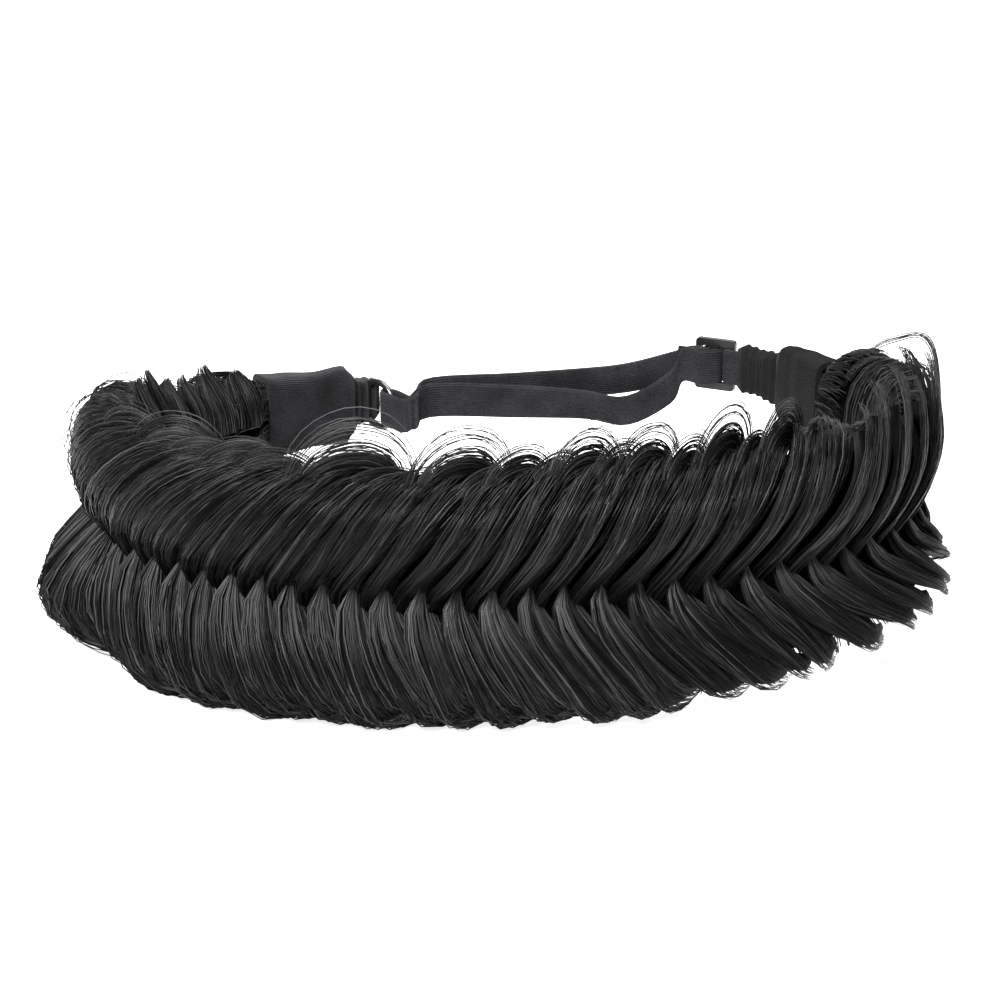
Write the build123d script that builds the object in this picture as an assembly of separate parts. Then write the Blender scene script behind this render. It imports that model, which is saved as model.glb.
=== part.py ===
from build123d import *
import math
import os

# A braided hair headband: a fishtail braid of hair locks in two rows, bent round in a loop,
# whose ends are sewn into two ribbed elastic tabs. One tab holds a ring, and an elastic strap
# runs from the other tab through a slider, round the ring and back to the slider's bar.
# Lengths are in millimetres and angles in degrees. +Y is the back of the head, +Z is up.

# The loop in plan, at the groove between the two rows of locks
loop_half_width = 95.5
loop_front_depth = 58.0      # from the widest line to the front
loop_back_depth = 88.0       # from the widest line to the strap
front_squareness = 2.3       # 2 is an ellipse, and more is squarer
back_squareness = 2.6
left_end_angle = 146.0       # how far round from the front the braid ends
right_end_angle = 124.0

# The braid
lock_pitch = 7.4
lock_lean = 15.0             # how far a lock leans along the braid, from the groove to its edge
lock_relief = 2.2            # how far the edge of a lock stands out, and its hollow sinks
groove_zigzag = 2.0
lean_fade_share = 1.8        # the lean fades out at the braid's ends over this many leans
row_gap = 0.3
upper_height = 27.0
lower_height = 28.0
wing_bulge = 11.0            # outwards from the groove
inner_depth = 8.0            # inwards from the groove
right_end_lift = 8.5         # the right end is carried higher than the left

# The braid's ends, pressed flat and sewn into the tabs
tongue_length = 9.0
tongue_half_height = 9.0
tongue_half_thickness = 3.0
tongue_offset = -2.0         # outwards from the groove line
swell_length = 7.0           # from the tongue to the full braid

# The elastic tabs
tab_half_height = 12.0
tab_wall = 1.5
seam_clearance = 0.3
left_tab_length = 37.5
right_tab_length = 30.0
tab_cover = 8.5              # how much of the tongue a tab covers
corner_cut = 0.4             # of a tab's half thickness

# The strap, the ring and the slider
strap_width = 9.5
strap_thickness = 1.0
strap_tuck = 5.0             # how far the strap goes into the right tab
strap_lean = 3.0             # how far the strap's upper edge leans inwards where it twists
steepest_lean = 0.9          # of the strap's width
ring_outer_diameter = 14.5
ring_wire = 1.8
ring_turn = 58.0             # from the run of the strap
ring_lift = -1.2             # above the groove
slider_bar = 1.6
slider_rail = 2.0
slider_distance = 10.5       # from the end of the right tab to the slider's middle
slider_lift = 11.5           # above the groove
fit_clearance = 0.3

# How the braid changes along its length, as shares of the named sizes
station_columns = ("along", "lift", "upper", "lower", "upper_flare", "lower_flare")
braid_stations = [
    (0.000, 0.00, 0.50, 0.62, 0.60, 0.55),
    (0.025, 0.00, 0.55, 0.80, 0.65, 0.65),
    (0.080, 0.00, 0.72, 0.98, 0.70, 0.85),
    (0.210, 0.00, 0.97, 0.78, 0.65, 1.18),
    (0.370, 0.00, 0.98, 0.96, 0.90, 0.95),
    (0.470, 0.00, 0.97, 1.00, 0.90, 0.90),
    (0.600, 0.08, 1.06, 0.98, 0.92, 0.88),
    (0.690, 0.25, 1.10, 0.92, 0.92, 0.95),
    (0.780, 0.35, 1.10, 0.80, 0.85, 1.02),
    (0.860, 0.40, 1.05, 0.76, 0.72, 0.98),
    (0.930, 0.70, 0.92, 1.12, 0.75, 0.95),
    (0.975, 1.00, 0.66, 0.95, 0.70, 0.70),
    (1.000, 1.00, 0.55, 0.80, 0.60, 0.60),
]

# The outline of a row, from the groove over its edge to the inside
outline_columns = ("out", "up", "lean", "relief")
upper_outline = [
    (0.00, 0.00, 0.00, 0.00),
    (0.45, 0.19, 0.25, 0.55),
    (0.86, 0.44, 0.55, 0.95),
    (1.00, 0.67, 0.80, 1.00),
    (0.75, 0.89, 0.97, 0.90),
    (0.25, 1.00, 1.00, 0.80),
    (-0.40, 0.94, 0.95, 0.60),
    (-0.85, 0.70, 0.70, 0.45),
    (-1.00, 0.35, 0.35, 0.30),
    (-1.00, 0.00, 0.00, 0.00),
]
lower_outline = [
    (0.00, 0.00, 0.00, 0.00),
    (0.42, 0.20, 0.25, 0.55),
    (0.80, 0.45, 0.52, 0.95),
    (1.08, 0.68, 0.78, 1.00),
    (1.00, 0.87, 0.95, 1.00),
    (0.45, 1.00, 1.00, 0.80),
    (-0.30, 0.97, 1.00, 0.60),
    (-0.85, 0.75, 0.75, 0.45),
    (-1.00, 0.40, 0.38, 0.30),
    (-1.00, 0.00, 0.00, 0.00),
]

# One lock across its width: its trailing edge is raised, and its far side sinks under the next
lock_columns = ("across", "rise", "zigzag")
lock_profile = [
    (0.00, 1.00, 0.55),
    (0.15, 0.75, 1.00),
    (0.50, -0.15, -0.45),
    (0.85, -1.00, -1.00),
]

# The tabs from the mouth at the braid to the narrow end, as shares
tab_columns = ("along", "height", "thickness", "out")
left_tab_rows = [
    (0.00, 1.00, 1.00, 0.00),
    (0.27, 0.90, 0.95, 0.00),
    (0.52, 0.84, 0.60, 0.05),
    (0.74, 0.90, 0.50, 0.30),
    (0.80, 0.68, 0.62, 0.50),
    (0.84, 0.52, 0.44, 0.68),
    (0.89, 0.50, 0.60, 0.85),
    (0.95, 0.46, 0.48, 1.00),
    (1.00, 0.44, 0.48, 1.00),
]
right_tab_rows = [
    (0.00, 1.00, 1.00, 0.00),
    (0.26, 0.90, 0.95, 0.00),
    (0.48, 0.78, 0.65, 0.00),
    (0.58, 0.70, 0.55, 0.00),
    (0.68, 0.52, 0.42, 0.00),
    (0.76, 0.53, 0.54, 0.00),
    (0.84, 0.50, 0.42, 0.00),
    (0.92, 0.52, 0.54, 0.00),
    (1.00, 0.50, 0.42, 0.00),
]

# The strap's two layers from the ring to the slider, as shares of the run and of its rise
layer_columns = ("along", "outer", "inner", "inset", "lean")
strap_layers = [
    (0.18, 0.17, 0.13, 0.90, 0.00),
    (0.42, 0.26, 0.08, 1.00, 0.30),
    (0.62, 0.41, 0.01, 1.00, 1.00),
    (0.75, 0.56, -0.10, 1.00, 1.00),
    (0.88, 0.86, 0.48, 0.90, 0.50),
]
layer_inset = 4.5            # how far the inner layer runs inside the loop
path_steps = 4

# The strap's sewn loop round the slider's middle bar. A hug is the distance from the middle
# of a bar to the middle of a strap that lies on it, and a layer is the distance between layers.
sewn_columns = ("right_hugs", "right_layers", "out_hugs", "out_layers")
sewn_loop = [
    (0.00, -7.50, -1.00, -1.00),
    (0.00, -4.00, -1.00, -1.00),
    (0.00, -2.80, -1.00, -0.88),
    (0.00, -1.45, -1.00, -0.25),
    (-1.00, 0.00, 0.00, 0.00),
    (-0.85, 0.00, 0.85, 0.00),
    (0.00, 0.00, 1.00, 0.00),
    (0.85, 0.00, 0.85, 0.00),
    (1.00, 0.00, 0.00, 0.00),
    (0.85, 0.00, -0.85, 0.00),
    (0.00, 0.30, -1.00, -0.60),
    (0.00, -2.40, -1.00, -2.15),
    (0.00, -6.00, -1.00, -2.30),
]
corner_share = 0.75          # how near the strap's middle passes to a bar's corner


def smooth(share):
    share = min(1.0, max(0.0, share))
    return share * share * (3.0 - 2.0 * share)


def named(columns, row):
    return dict(zip(columns, row))


def blend_rows(rows, columns, along):
    """The table's values at one place along it, eased from row to row."""
    for low, high in zip(rows, rows[1:]):
        if along <= high[0]:
            break
    ease = smooth((along - low[0]) / (high[0] - low[0]))
    return named(columns, [a + (b - a) * ease for a, b in zip(low, high)])


# The plan curve, measured along its length from the braid's left end

def plan_point(angle):
    """A point of the loop, where angle 0 is the front and angles grow towards the right."""
    ahead = math.cos(math.radians(angle))
    aside = math.sin(math.radians(angle))
    squareness = front_squareness if ahead > 0 else back_squareness
    depth = loop_front_depth if ahead > 0 else loop_back_depth
    x = loop_half_width * math.copysign(abs(aside) ** (2 / squareness), aside)
    y = -depth * math.copysign(abs(ahead) ** (2 / squareness), ahead)
    return x, y


plan_step = 0.5
heading_reach = 1.5
plan_angles = [-left_end_angle + plan_step * k for k in range(round(360 / plan_step) + 1)]
plan_points = [plan_point(angle) for angle in plan_angles]
plan_marks = [0.0]
for here, there in zip(plan_points, plan_points[1:]):
    plan_marks.append(plan_marks[-1] + math.dist(here, there))
loop_length = plan_marks[-1]


def mark_of(angle):
    """The distance along the loop from the braid's left end to an angle."""
    index = (angle + left_end_angle) / plan_step
    low = int(index)
    return plan_marks[low] + (index - low) * (plan_marks[low + 1] - plan_marks[low])


def plan_at(mark):
    """The point of the loop at a distance from the braid's left end."""
    mark = mark % loop_length
    low, high = 0, len(plan_marks) - 1
    while high - low > 1:
        middle = (low + high) // 2
        if plan_marks[middle] <= mark:
            low = middle
        else:
            high = middle
    share = (mark - plan_marks[low]) / (plan_marks[high] - plan_marks[low])
    start, end = plan_points[low], plan_points[high]
    return start[0] + (end[0] - start[0]) * share, start[1] + (end[1] - start[1]) * share


def heading_at(mark):
    """The unit directions along the loop and outwards from it."""
    x0, y0 = plan_at(mark - heading_reach)
    x1, y1 = plan_at(mark + heading_reach)
    length = math.hypot(x1 - x0, y1 - y0)
    along = Vector((x1 - x0) / length, (y1 - y0) / length, 0)
    return along, Vector(along.Y, -along.X, 0)


def place(mark, out, up):
    """A point at a distance along the loop, a distance out from it and a height above the groove."""
    x, y = plan_at(mark)
    outward = heading_at(mark)[1]
    return Vector(x + outward.X * out, y + outward.Y * out, up)


braid_length = mark_of(right_end_angle)


# Closed solids made from a run of rings

def closed_solid(rings):
    """A solid whose skin joins each ring of points to the next, with a fan over both ends."""
    faces = []

    def triangle(a, b, c):
        faces.append(Face(Wire.make_polygon([a, b, c], close=True)))

    count = len(rings[0])
    for ring, following in zip(rings, rings[1:]):
        for k in range(count):
            n = (k + 1) % count
            triangle(ring[k], ring[n], following[n])
            triangle(ring[k], following[n], following[k])
    for ring, turned in ((rings[0], True), (rings[-1], False)):
        middle = sum(ring, Vector(0, 0, 0)) / count
        for k in range(count):
            a, b = ring[k], ring[(k + 1) % count]
            triangle(middle, b, a) if turned else triangle(middle, a, b)
    return Solid(Shell(faces))


# The two rows of locks

def station_at(mark):
    return blend_rows(braid_stations, station_columns, min(1.0, max(0.0, mark / braid_length)))


def lift_at(mark):
    return station_at(mark)["lift"] * right_end_lift


def outline_normals(points):
    """The outward directions at each point of an outline of out and up pairs."""
    normals = []
    for k in range(len(points)):
        before = points[max(0, k - 1)]
        after = points[min(len(points) - 1, k + 1)]
        along_out, along_up = after[0] - before[0], after[1] - before[1]
        length = math.hypot(along_out, along_up)
        normals.append((along_up / length, -along_out / length))
    return normals


def row_ring(outline, side, mark, rise, zigzag):
    """One ring of a row of locks: side is 1 for the upper row and -1 for the lower row."""
    lean_run = lean_fade_share * lock_lean
    lean_fade = min(1.0, mark / lean_run, (braid_length - mark) / lean_run)
    rows = [named(outline_columns, row) for row in outline]
    ring = []
    shapes = []
    for row in rows:
        spot = mark + row["lean"] * lock_lean * lean_fade
        station = station_at(spot)
        height, flare = ((upper_height * station["upper"], station["upper_flare"]) if side > 0
                         else (lower_height * station["lower"], station["lower_flare"]))
        reach = wing_bulge * flare if row["out"] > 0 else inner_depth
        swell = smooth((min(spot, braid_length - spot) - tongue_length) / swell_length)
        flat_out = tongue_offset + tongue_half_thickness * max(-1.0, min(1.0, row["out"]))
        out = flat_out + (row["out"] * reach - flat_out) * swell
        up = row["up"] * (tongue_half_height + (height - tongue_half_height) * swell)
        shapes.append((spot, out, up, swell, station["lift"] * right_end_lift))
    normals = outline_normals([(shape[1], shape[2]) for shape in shapes])
    for row, shape, normal in zip(rows, shapes, normals):
        spot, out, up, swell, lift = shape
        push = lock_relief * rise * row["relief"] * swell
        tip = groove_zigzag * zigzag * swell if row["up"] == 0.0 else 0.0
        height = side * (up + normal[1] * push + row_gap / 2) + tip + lift
        ring.append(place(spot, out + normal[0] * push, height))
    return ring if side < 0 else ring[::-1]


def braid_row(outline, side):
    lock_count = round(braid_length / lock_pitch)
    pitch = braid_length / lock_count
    rings = []
    for lock in range(lock_count):
        for profile in lock_profile:
            step = named(lock_columns, profile)
            mark = (lock + step["across"]) * pitch
            rings.append(row_ring(outline, side, mark, step["rise"], step["zigzag"]))
    rings.append(row_ring(outline, side, braid_length, 0.0, 0.0))
    return closed_solid(rings)


# The elastic tabs

pocket_half_height = tongue_half_height + row_gap / 2 + seam_clearance
pocket_half_thickness = tongue_half_thickness + seam_clearance
tab_half_thickness = pocket_half_thickness + tab_wall


def flat_ring(mark, out, up, half_thickness, half_height):
    """A ring of eight points round a flat piece, with cut corners."""
    corner = corner_cut * half_thickness
    inner_thickness, inner_height = half_thickness - corner, half_height - corner
    corners = [(half_thickness, -inner_height), (half_thickness, inner_height),
               (inner_thickness, half_height), (-inner_thickness, half_height),
               (-half_thickness, inner_height), (-half_thickness, -inner_height),
               (-inner_thickness, -half_height), (inner_thickness, -half_height)]
    return [place(mark, out + across, up + over) for across, over in corners]


def tab_rings(rows, mouth, direction, length, end_out, end_lift):
    """The pocket that holds the braid's end, then the skin as far as the narrow end."""
    start_lift = lift_at(mouth)
    bottom = mouth + direction * (tab_cover + seam_clearance)
    pocket = [flat_ring(mark, tongue_offset, start_lift, pocket_half_thickness, pocket_half_height)
              for mark in (bottom, mouth)]
    skin = []
    for row in rows:
        values = named(tab_columns, row)
        mark = mouth + direction * values["along"] * length
        ease = smooth(values["along"])
        out = tongue_offset * (1.0 - ease) + end_out * values["out"]
        up = start_lift + (end_lift - start_lift) * ease
        skin.append(flat_ring(mark, out, up, tab_half_thickness * values["thickness"],
                              tab_half_height * values["height"]))
    return pocket + skin


# The ring stands across the strap, turned about the upright line
ring_radius = (ring_outer_diameter - ring_wire) / 2
ring_mark = -left_tab_length + tab_cover + ring_wire
ring_along, ring_outward = heading_at(ring_mark)
ring_across = ring_outward * math.cos(math.radians(ring_turn)) - ring_along * math.sin(math.radians(ring_turn))
ring_direction = (ring_along * -math.cos(math.radians(ring_turn))
                  - ring_outward * math.sin(math.radians(ring_turn)))
ring_offset = ring_radius * math.sin(math.radians(ring_turn))
tab_wire_point = place(ring_mark, ring_offset, ring_lift)
ring_centre = tab_wire_point + ring_direction * ring_radius
strap_wire_point = ring_centre + ring_direction * ring_radius
ring_plane = Plane(origin=ring_centre, x_dir=ring_direction, z_dir=ring_across)

# The slider stands on the loop between the ring and the right tab
strap_end_mark = braid_length - tab_cover + right_tab_length
slider_mark = strap_end_mark + slider_distance
slot_length = 2 * strap_thickness + 4 * fit_clearance
slot_height = strap_width + 2 * fit_clearance
slider_length = 3 * slider_bar + 2 * slot_length
slider_height = slot_height + 2 * slider_rail
slider_along, slider_outward = heading_at(slider_mark)
slider_centre = place(slider_mark, 0, slider_lift)


def make_ring():
    return ring_plane * Torus(ring_radius, ring_wire / 2)


def make_slider():
    slot_place = (slider_bar + slot_length) / 2
    body = Box(slider_length, slider_bar, slider_height)
    body = fillet(body.edges().filter_by(Axis.Y), slider_rail / 2)
    for side in (-1, 1):
        body -= Pos(side * slot_place, 0, 0) * Box(slot_length, 2 * slider_bar, slot_height)
    return Plane(origin=slider_centre, x_dir=slider_along * -1, z_dir=(0, 0, 1)) * body


def make_left_tab():
    rings = tab_rings(left_tab_rows, tab_cover, -1, left_tab_length, ring_offset, ring_lift)
    return closed_solid(rings) - ring_plane * Torus(ring_radius, ring_wire / 2 + seam_clearance)


def make_right_tab():
    mouth = braid_length - tab_cover
    rings = tab_rings(right_tab_rows, mouth, 1, right_tab_length, 0.0, slider_lift)
    for mark in (strap_end_mark, strap_end_mark - strap_tuck - seam_clearance):
        rings.append(flat_ring(mark, 0.0, slider_lift, strap_thickness / 2 + seam_clearance,
                               strap_width / 2 + seam_clearance))
    return closed_solid(rings)


def strap_path():
    """The middle line of the strap, from its sewn end round the slider's bar to the right tab.

    Each entry is a point of the line and how far the upper edge leans inwards there.
    """
    hug = slider_bar / 2 + fit_clearance + strap_thickness / 2
    layer = strap_thickness + fit_clearance
    wrap = ring_wire / 2 + fit_clearance + strap_thickness / 2
    hole = (ring_outer_diameter / 2 - ring_wire) ** 2 - (strap_width / 2) ** 2
    slack = ring_radius - math.sqrt(hole) + fit_clearance + strap_thickness / 2
    run = ring_mark + loop_length - slider_mark
    rise = slider_lift - ring_lift
    layers = [named(layer_columns, row) for row in strap_layers]

    def at_slider(right, out):
        return slider_centre - slider_along * right + slider_outward * out, 0.0

    def at_ring(beyond, across):
        return strap_wire_point + ring_direction * beyond + ring_across * across, 0.0

    def between(values, out, share):
        mark = slider_mark + run * (1 - values["along"])
        return place(mark, out, ring_lift + rise * share), strap_lean * values["lean"]

    def in_loop(values):
        return at_slider(values["right_hugs"] * hug + values["right_layers"] * layer,
                         values["out_hugs"] * hug + values["out_layers"] * layer)

    sewn = [in_loop(named(sewn_columns, row)) for row in sewn_loop]
    inner = [between(values, -layer_inset * values["inset"], values["inner"]) for values in reversed(layers)]
    round_ring = [at_ring(ring_radius, -wrap), at_ring(0.0, -wrap), at_ring(-slack * 0.6, -wrap),
                  at_ring(-slack, 0.0),
                  at_ring(-slack * 0.6, wrap), at_ring(0.0, wrap), at_ring(ring_radius, wrap)]
    outer = [between(values, -hug * values["along"], values["outer"]) for values in layers]
    slot_end = slider_bar / 2 + slot_length
    dip = corner_share * (fit_clearance + strap_thickness / 2)
    over = hug + 0.5 * layer
    through = [at_slider(-slot_end - 2.0 * layer, -hug), at_slider(dip - slot_end, -slider_bar / 2 - dip),
               at_slider(-hug - layer, 0.0), at_slider(-over, over), at_slider(0.0, hug + layer),
               at_slider(over, over), at_slider(hug + layer, 0.0),
               at_slider(slot_end - dip, -slider_bar / 2 - dip), at_slider(slot_end + 2.0 * layer, -hug)]
    tucked = [(place(strap_end_mark - tuck, 0.0, slider_lift), 0.0) for tuck in (0.0, strap_tuck)]
    return sewn + inner + round_ring + outer + through + tucked


def smooth_path(points):
    """A run of points eased through the given ones."""
    line = [points[0] * 2 - points[1], *points, points[-1] * 2 - points[-2]]
    path = []
    for a, b, c, d in zip(line, line[1:], line[2:], line[3:]):
        for k in range(path_steps):
            t = k / path_steps
            path.append((b * 2 + (c - a) * t + (a * 2 - b * 5 + c * 4 - d) * t ** 2
                         + (b * 3 - a - c * 3 + d) * t ** 3) * 0.5)
    path.append(points[-1])
    return path


def make_strap():
    line = strap_path()
    path = smooth_path([point for point, lean in line])
    leans = smooth_path([lean for point, lean in line])
    inwards = place(slider_mark + strap_width, -1, 0) - place(slider_mark + strap_width, 0, 0)
    rings = []
    for k, point in enumerate(path):
        ahead = path[min(k + 1, len(path) - 1)] - path[max(k - 1, 0)]
        lean = min(strap_width * steepest_lean, leans[k])
        half = Vector(inwards.X * lean, inwards.Y * lean, math.sqrt(strap_width ** 2 - lean ** 2)) * 0.5
        across = ahead.cross(half).normalized() * (strap_thickness / 2)
        rings.append([point + across - half, point + across + half,
                      point - across + half, point - across - half])
    return closed_solid(rings)


pieces = {
    "upper_locks": braid_row(upper_outline, 1),
    "lower_locks": braid_row(lower_outline, -1),
    "left_tab": make_left_tab(),
    "right_tab": make_right_tab(),
    "ring": make_ring(),
    "slider": make_slider(),
    "strap": make_strap(),
}

# The origin is the middle of the underside of the whole headband
boxes = [solid.bounding_box() for solid in pieces.values()]
low = [min(getattr(box.min, axis) for box in boxes) for axis in "XYZ"]
high = [max(getattr(box.max, axis) for box in boxes) for axis in "XYZ"]
shift = Vector(-(low[0] + high[0]) / 2, -(low[1] + high[1]) / 2, -low[2])
os.makedirs("parts", exist_ok=True)
for name, solid in pieces.items():
    export_step(Pos(shift) * solid, os.path.join("parts", name + ".step"))
print("braid", round(braid_length, 1), "loop", round(loop_length, 1), "shift", shift)
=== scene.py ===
import bmesh
import bpy
import math
import numpy as np
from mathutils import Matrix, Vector


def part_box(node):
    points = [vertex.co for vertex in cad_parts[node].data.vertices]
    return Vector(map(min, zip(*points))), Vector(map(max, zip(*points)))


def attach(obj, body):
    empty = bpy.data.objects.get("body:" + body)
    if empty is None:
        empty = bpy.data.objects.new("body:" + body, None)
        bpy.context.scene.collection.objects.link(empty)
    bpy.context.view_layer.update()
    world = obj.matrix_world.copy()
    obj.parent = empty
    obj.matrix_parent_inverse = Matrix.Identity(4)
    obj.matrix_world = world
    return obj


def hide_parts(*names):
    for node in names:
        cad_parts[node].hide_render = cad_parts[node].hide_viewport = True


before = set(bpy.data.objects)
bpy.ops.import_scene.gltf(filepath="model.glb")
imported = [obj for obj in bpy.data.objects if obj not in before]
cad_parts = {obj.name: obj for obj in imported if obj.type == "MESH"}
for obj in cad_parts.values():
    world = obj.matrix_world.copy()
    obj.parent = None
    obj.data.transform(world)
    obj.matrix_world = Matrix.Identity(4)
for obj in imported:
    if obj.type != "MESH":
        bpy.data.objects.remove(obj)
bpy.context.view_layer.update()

# Sizes are in millimetres until a mesh is made, and mark is a distance along the loop
mm = 0.001

# The loop's plan: an oval that is squarer at the back
loop = {
    "halfWidth": 95.5,
    "frontDepth": 58.0,
    "backDepth": 88.0,
    "frontSquareness": 2.3,
    "backSquareness": 2.6,
    "leftEnd": 146.0,        # degrees round from the front
    "rightEnd": 124.0,
    "step": 0.5,
}


def planLine():
    angles = np.radians(np.arange(-loop["leftEnd"], 360.1 - loop["leftEnd"], loop["step"]))
    ahead, aside = np.cos(angles), np.sin(angles)
    squareness = np.where(ahead > 0, loop["frontSquareness"], loop["backSquareness"])
    depth = np.where(ahead > 0, loop["frontDepth"], loop["backDepth"])
    x = loop["halfWidth"] * np.sign(aside) * np.abs(aside) ** (2 / squareness)
    y = -depth * np.sign(ahead) * np.abs(ahead) ** (2 / squareness)
    line = np.stack((x, y), -1)
    marks = np.concatenate(([0.0], np.cumsum(np.linalg.norm(np.diff(line, axis=0), axis=1))))
    return marks, line, np.degrees(angles)


planMarks, planPoints, planAngles = planLine()
loopLength = planMarks[-1]
braidLength = float(np.interp(loop["rightEnd"], planAngles, planMarks))


def planAt(mark):
    mark = np.mod(mark, loopLength)
    return np.stack([np.interp(mark, planMarks, planPoints[:, k]) for k in (0, 1)], -1)


# The ways along the loop and outwards
def headingAt(mark):
    reach = 1.5              # half the chord that gives the heading
    along = planAt(mark + reach) - planAt(mark - reach)
    along = along / np.linalg.norm(along, axis=-1, keepdims=True)
    return along, np.stack((along[..., 1], -along[..., 0]), -1)


# Points at a mark, so far out of the loop's line and so far up
def place(mark, out, up):
    mark, out, up = np.broadcast_arrays(np.asarray(mark, float), out, up)
    flat = planAt(mark) + headingAt(mark)[1] * out[..., None]
    return np.concatenate((flat, up[..., None]), -1)


# Values between the rows of a table, eased
def tableAt(table, where):
    rows = np.array(table["rows"], float)
    where = np.clip(where, rows[0, 0], rows[-1, 0])
    low = np.clip(np.searchsorted(rows[:, 0], where, side="right") - 1, 0, len(rows) - 2)
    share = (where - rows[low, 0]) / (rows[low + 1, 0] - rows[low, 0])
    ease = share * share * (3 - 2 * share)
    return {name: rows[low, k] + (rows[low + 1, k] - rows[low, k]) * ease
            for k, name in enumerate(table["columns"])}


def smooth(share):
    share = np.clip(share, 0.0, 1.0)
    return share * share * (3 - 2 * share)


# Rises smoothly from 0 at start to 1 at end
def ramp(value, start, end):
    return smooth((value - start) / (end - start))


# A smooth line through given points, with some steps between each two of them
def easedRun(values, steps):
    ends = np.concatenate((2 * values[:1] - values[1:2], values, 2 * values[-1:] - values[-2:-1]))
    eased = []
    for a, b, c, d in zip(ends, ends[1:], ends[2:], ends[3:]):
        for t in np.arange(steps) / steps:
            eased.append(0.5 * (2 * b + (c - a) * t + (2 * a - 5 * b + 4 * c - d) * t ** 2
                                + (3 * b - a - 3 * c + d) * t ** 3))
    return np.array(eased + [values[-1]])


# The ring, the slider and where they stand, which places everything in the frame
fittings = {
    "leftTabLength": 37.5,
    "rightTabLength": 30.0,
    "tabCover": 8.5,         # how far the tabs cover the braid's ends
    "ringDiameter": 14.5,
    "ringWire": 1.8,
    "ringTurn": 58.0,        # degrees out of the loop's line
    "ringLift": -1.2,
    "sliderBar": 1.6,
    "sliderDistance": 10.5,
    "sliderLift": 11.5,
    "fit": 0.3,              # between parts that touch
}


def flatVector(pair):
    return np.array([pair[0], pair[1], 0.0])


ringRadius = (fittings["ringDiameter"] - fittings["ringWire"]) / 2
ringMark = -fittings["leftTabLength"] + fittings["tabCover"] + fittings["ringWire"]
ringAlong, ringOutward = (flatVector(way) for way in headingAt(ringMark))
ringTurn = math.radians(fittings["ringTurn"])
ringAcross = ringOutward * math.cos(ringTurn) - ringAlong * math.sin(ringTurn)
ringDirection = -ringAlong * math.cos(ringTurn) - ringOutward * math.sin(ringTurn)
ringOffset = ringRadius * math.sin(ringTurn)
ringCentre = place(ringMark, ringOffset, fittings["ringLift"]) + ringDirection * ringRadius
strapWirePoint = ringCentre + ringDirection * ringRadius
ringLow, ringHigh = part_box("ring")
frameShift = np.array((ringLow + ringHigh) / 2) / mm - ringCentre


def toFrame(points):
    return (points + frameShift) * mm


# Meshes from arrays

def meshObject(name, points, faces, uv=None, vectors=None):
    mesh = bpy.data.meshes.new(name)
    mesh.from_pydata(toFrame(np.asarray(points)).tolist(), [], faces)
    if uv is not None:
        layer = mesh.uv_layers.new(name="lay")
        corners = np.zeros(len(mesh.loops), dtype=np.int32)
        mesh.loops.foreach_get("vertex_index", corners)
        layer.data.foreach_set("uv", np.asarray(uv, np.float32)[corners].ravel())
    for key, values in (vectors or {}).items():
        attribute = mesh.attributes.new(key, "FLOAT_VECTOR", "POINT")
        attribute.data.foreach_set("vector", np.asarray(values, np.float32).ravel())
    mesh.validate()
    made = bpy.data.objects.new(name, mesh)
    bpy.context.scene.collection.objects.link(made)
    return made


def gridFaces(across, along, start=0, closed=False):
    faces = []
    for row in range(along - 1):
        for k in range(across if closed else across - 1):
            n = (k + 1) % across
            a, b = start + row * across + k, start + row * across + n
            faces.append((a, b, b + across, a + across))
    return faces


def faceOutwards(made):
    whole = bmesh.new()
    whole.from_mesh(made.data)
    bmesh.ops.recalc_face_normals(whole, faces=whole.faces)
    whole.to_mesh(made.data)
    whole.free()


def shadeSmooth(made, angle=None):
    mesh = made.data
    if angle is None:
        mesh.polygons.foreach_set("use_smooth", [True] * len(mesh.polygons))
    else:
        mesh.shade_smooth()
        mesh.set_sharp_from_angle(angle=math.radians(angle))
    mesh.update()
    return made


# Closed tubes through rings of points, which come in blocks when there are several tubes. The comb lines'
# places across and along a tube are in millimetres.
def closedPiece(name, rings, combAcross, combAlong, material, angle=None):
    rows, count = rings.shape[-3:-1]
    faces = []
    for start in range(0, rings.size // 3, rows * count):
        last = start + (rows - 1) * count
        faces += gridFaces(count, rows, start, closed=True)
        faces += [tuple(range(start, start + count))[::-1], tuple(range(last, last + count))]
    lay = [np.broadcast_to(places, rings.shape[:-1]) for places in (combAcross, combAlong)]
    made = meshObject(name, rings.reshape(-1, 3), faces, np.stack(lay, -1).reshape(-1, 2))
    faceOutwards(made)
    shadeSmooth(made, angle)
    made.data.materials.append(material)
    return made


# Separate sheets side by side, which strands follow: points in a block of sheets, rows and columns
def sheetObject(name, points, outward=(0.0, 0.0, 1.0)):
    count, rows, columns = points.shape[:3]
    edge = 0.002             # keeps the sheets apart in the UV map
    number = np.arange(count)[:, None, None]
    across = edge + (1 - 2 * edge) * np.linspace(0, 1, columns)[None, None, :]
    length = np.linspace(0, 1, rows)[None, :, None]
    uv = np.stack(np.broadcast_arrays((number + across) / count, length), -1)
    faces = []
    for k in range(count):
        faces += gridFaces(columns, rows, k * columns * rows)
    outward = np.broadcast_to(outward, points.shape)
    return meshObject(name, points.reshape(-1, 3), faces, uv.reshape(-1, 2),
                      {"outward": outward.reshape(-1, 3)})


def finishPiece(made, slot, *nodes):
    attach(made, "root")
    if nodes:
        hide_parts(*nodes)
    return made


# Node trees

def fillInputs(tree, node, inputs):
    for key, value in inputs.items():
        if isinstance(value, bpy.types.NodeSocket):
            tree.links.new(value, node.inputs[key])
        else:
            node.inputs[key].default_value = value


def addNode(tree, kind, settings=None, inputs=None):
    node = tree.nodes.new(kind)
    for key, value in (settings or {}).items():
        setattr(node, key, value)
    fillInputs(tree, node, inputs or {})
    return node


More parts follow.
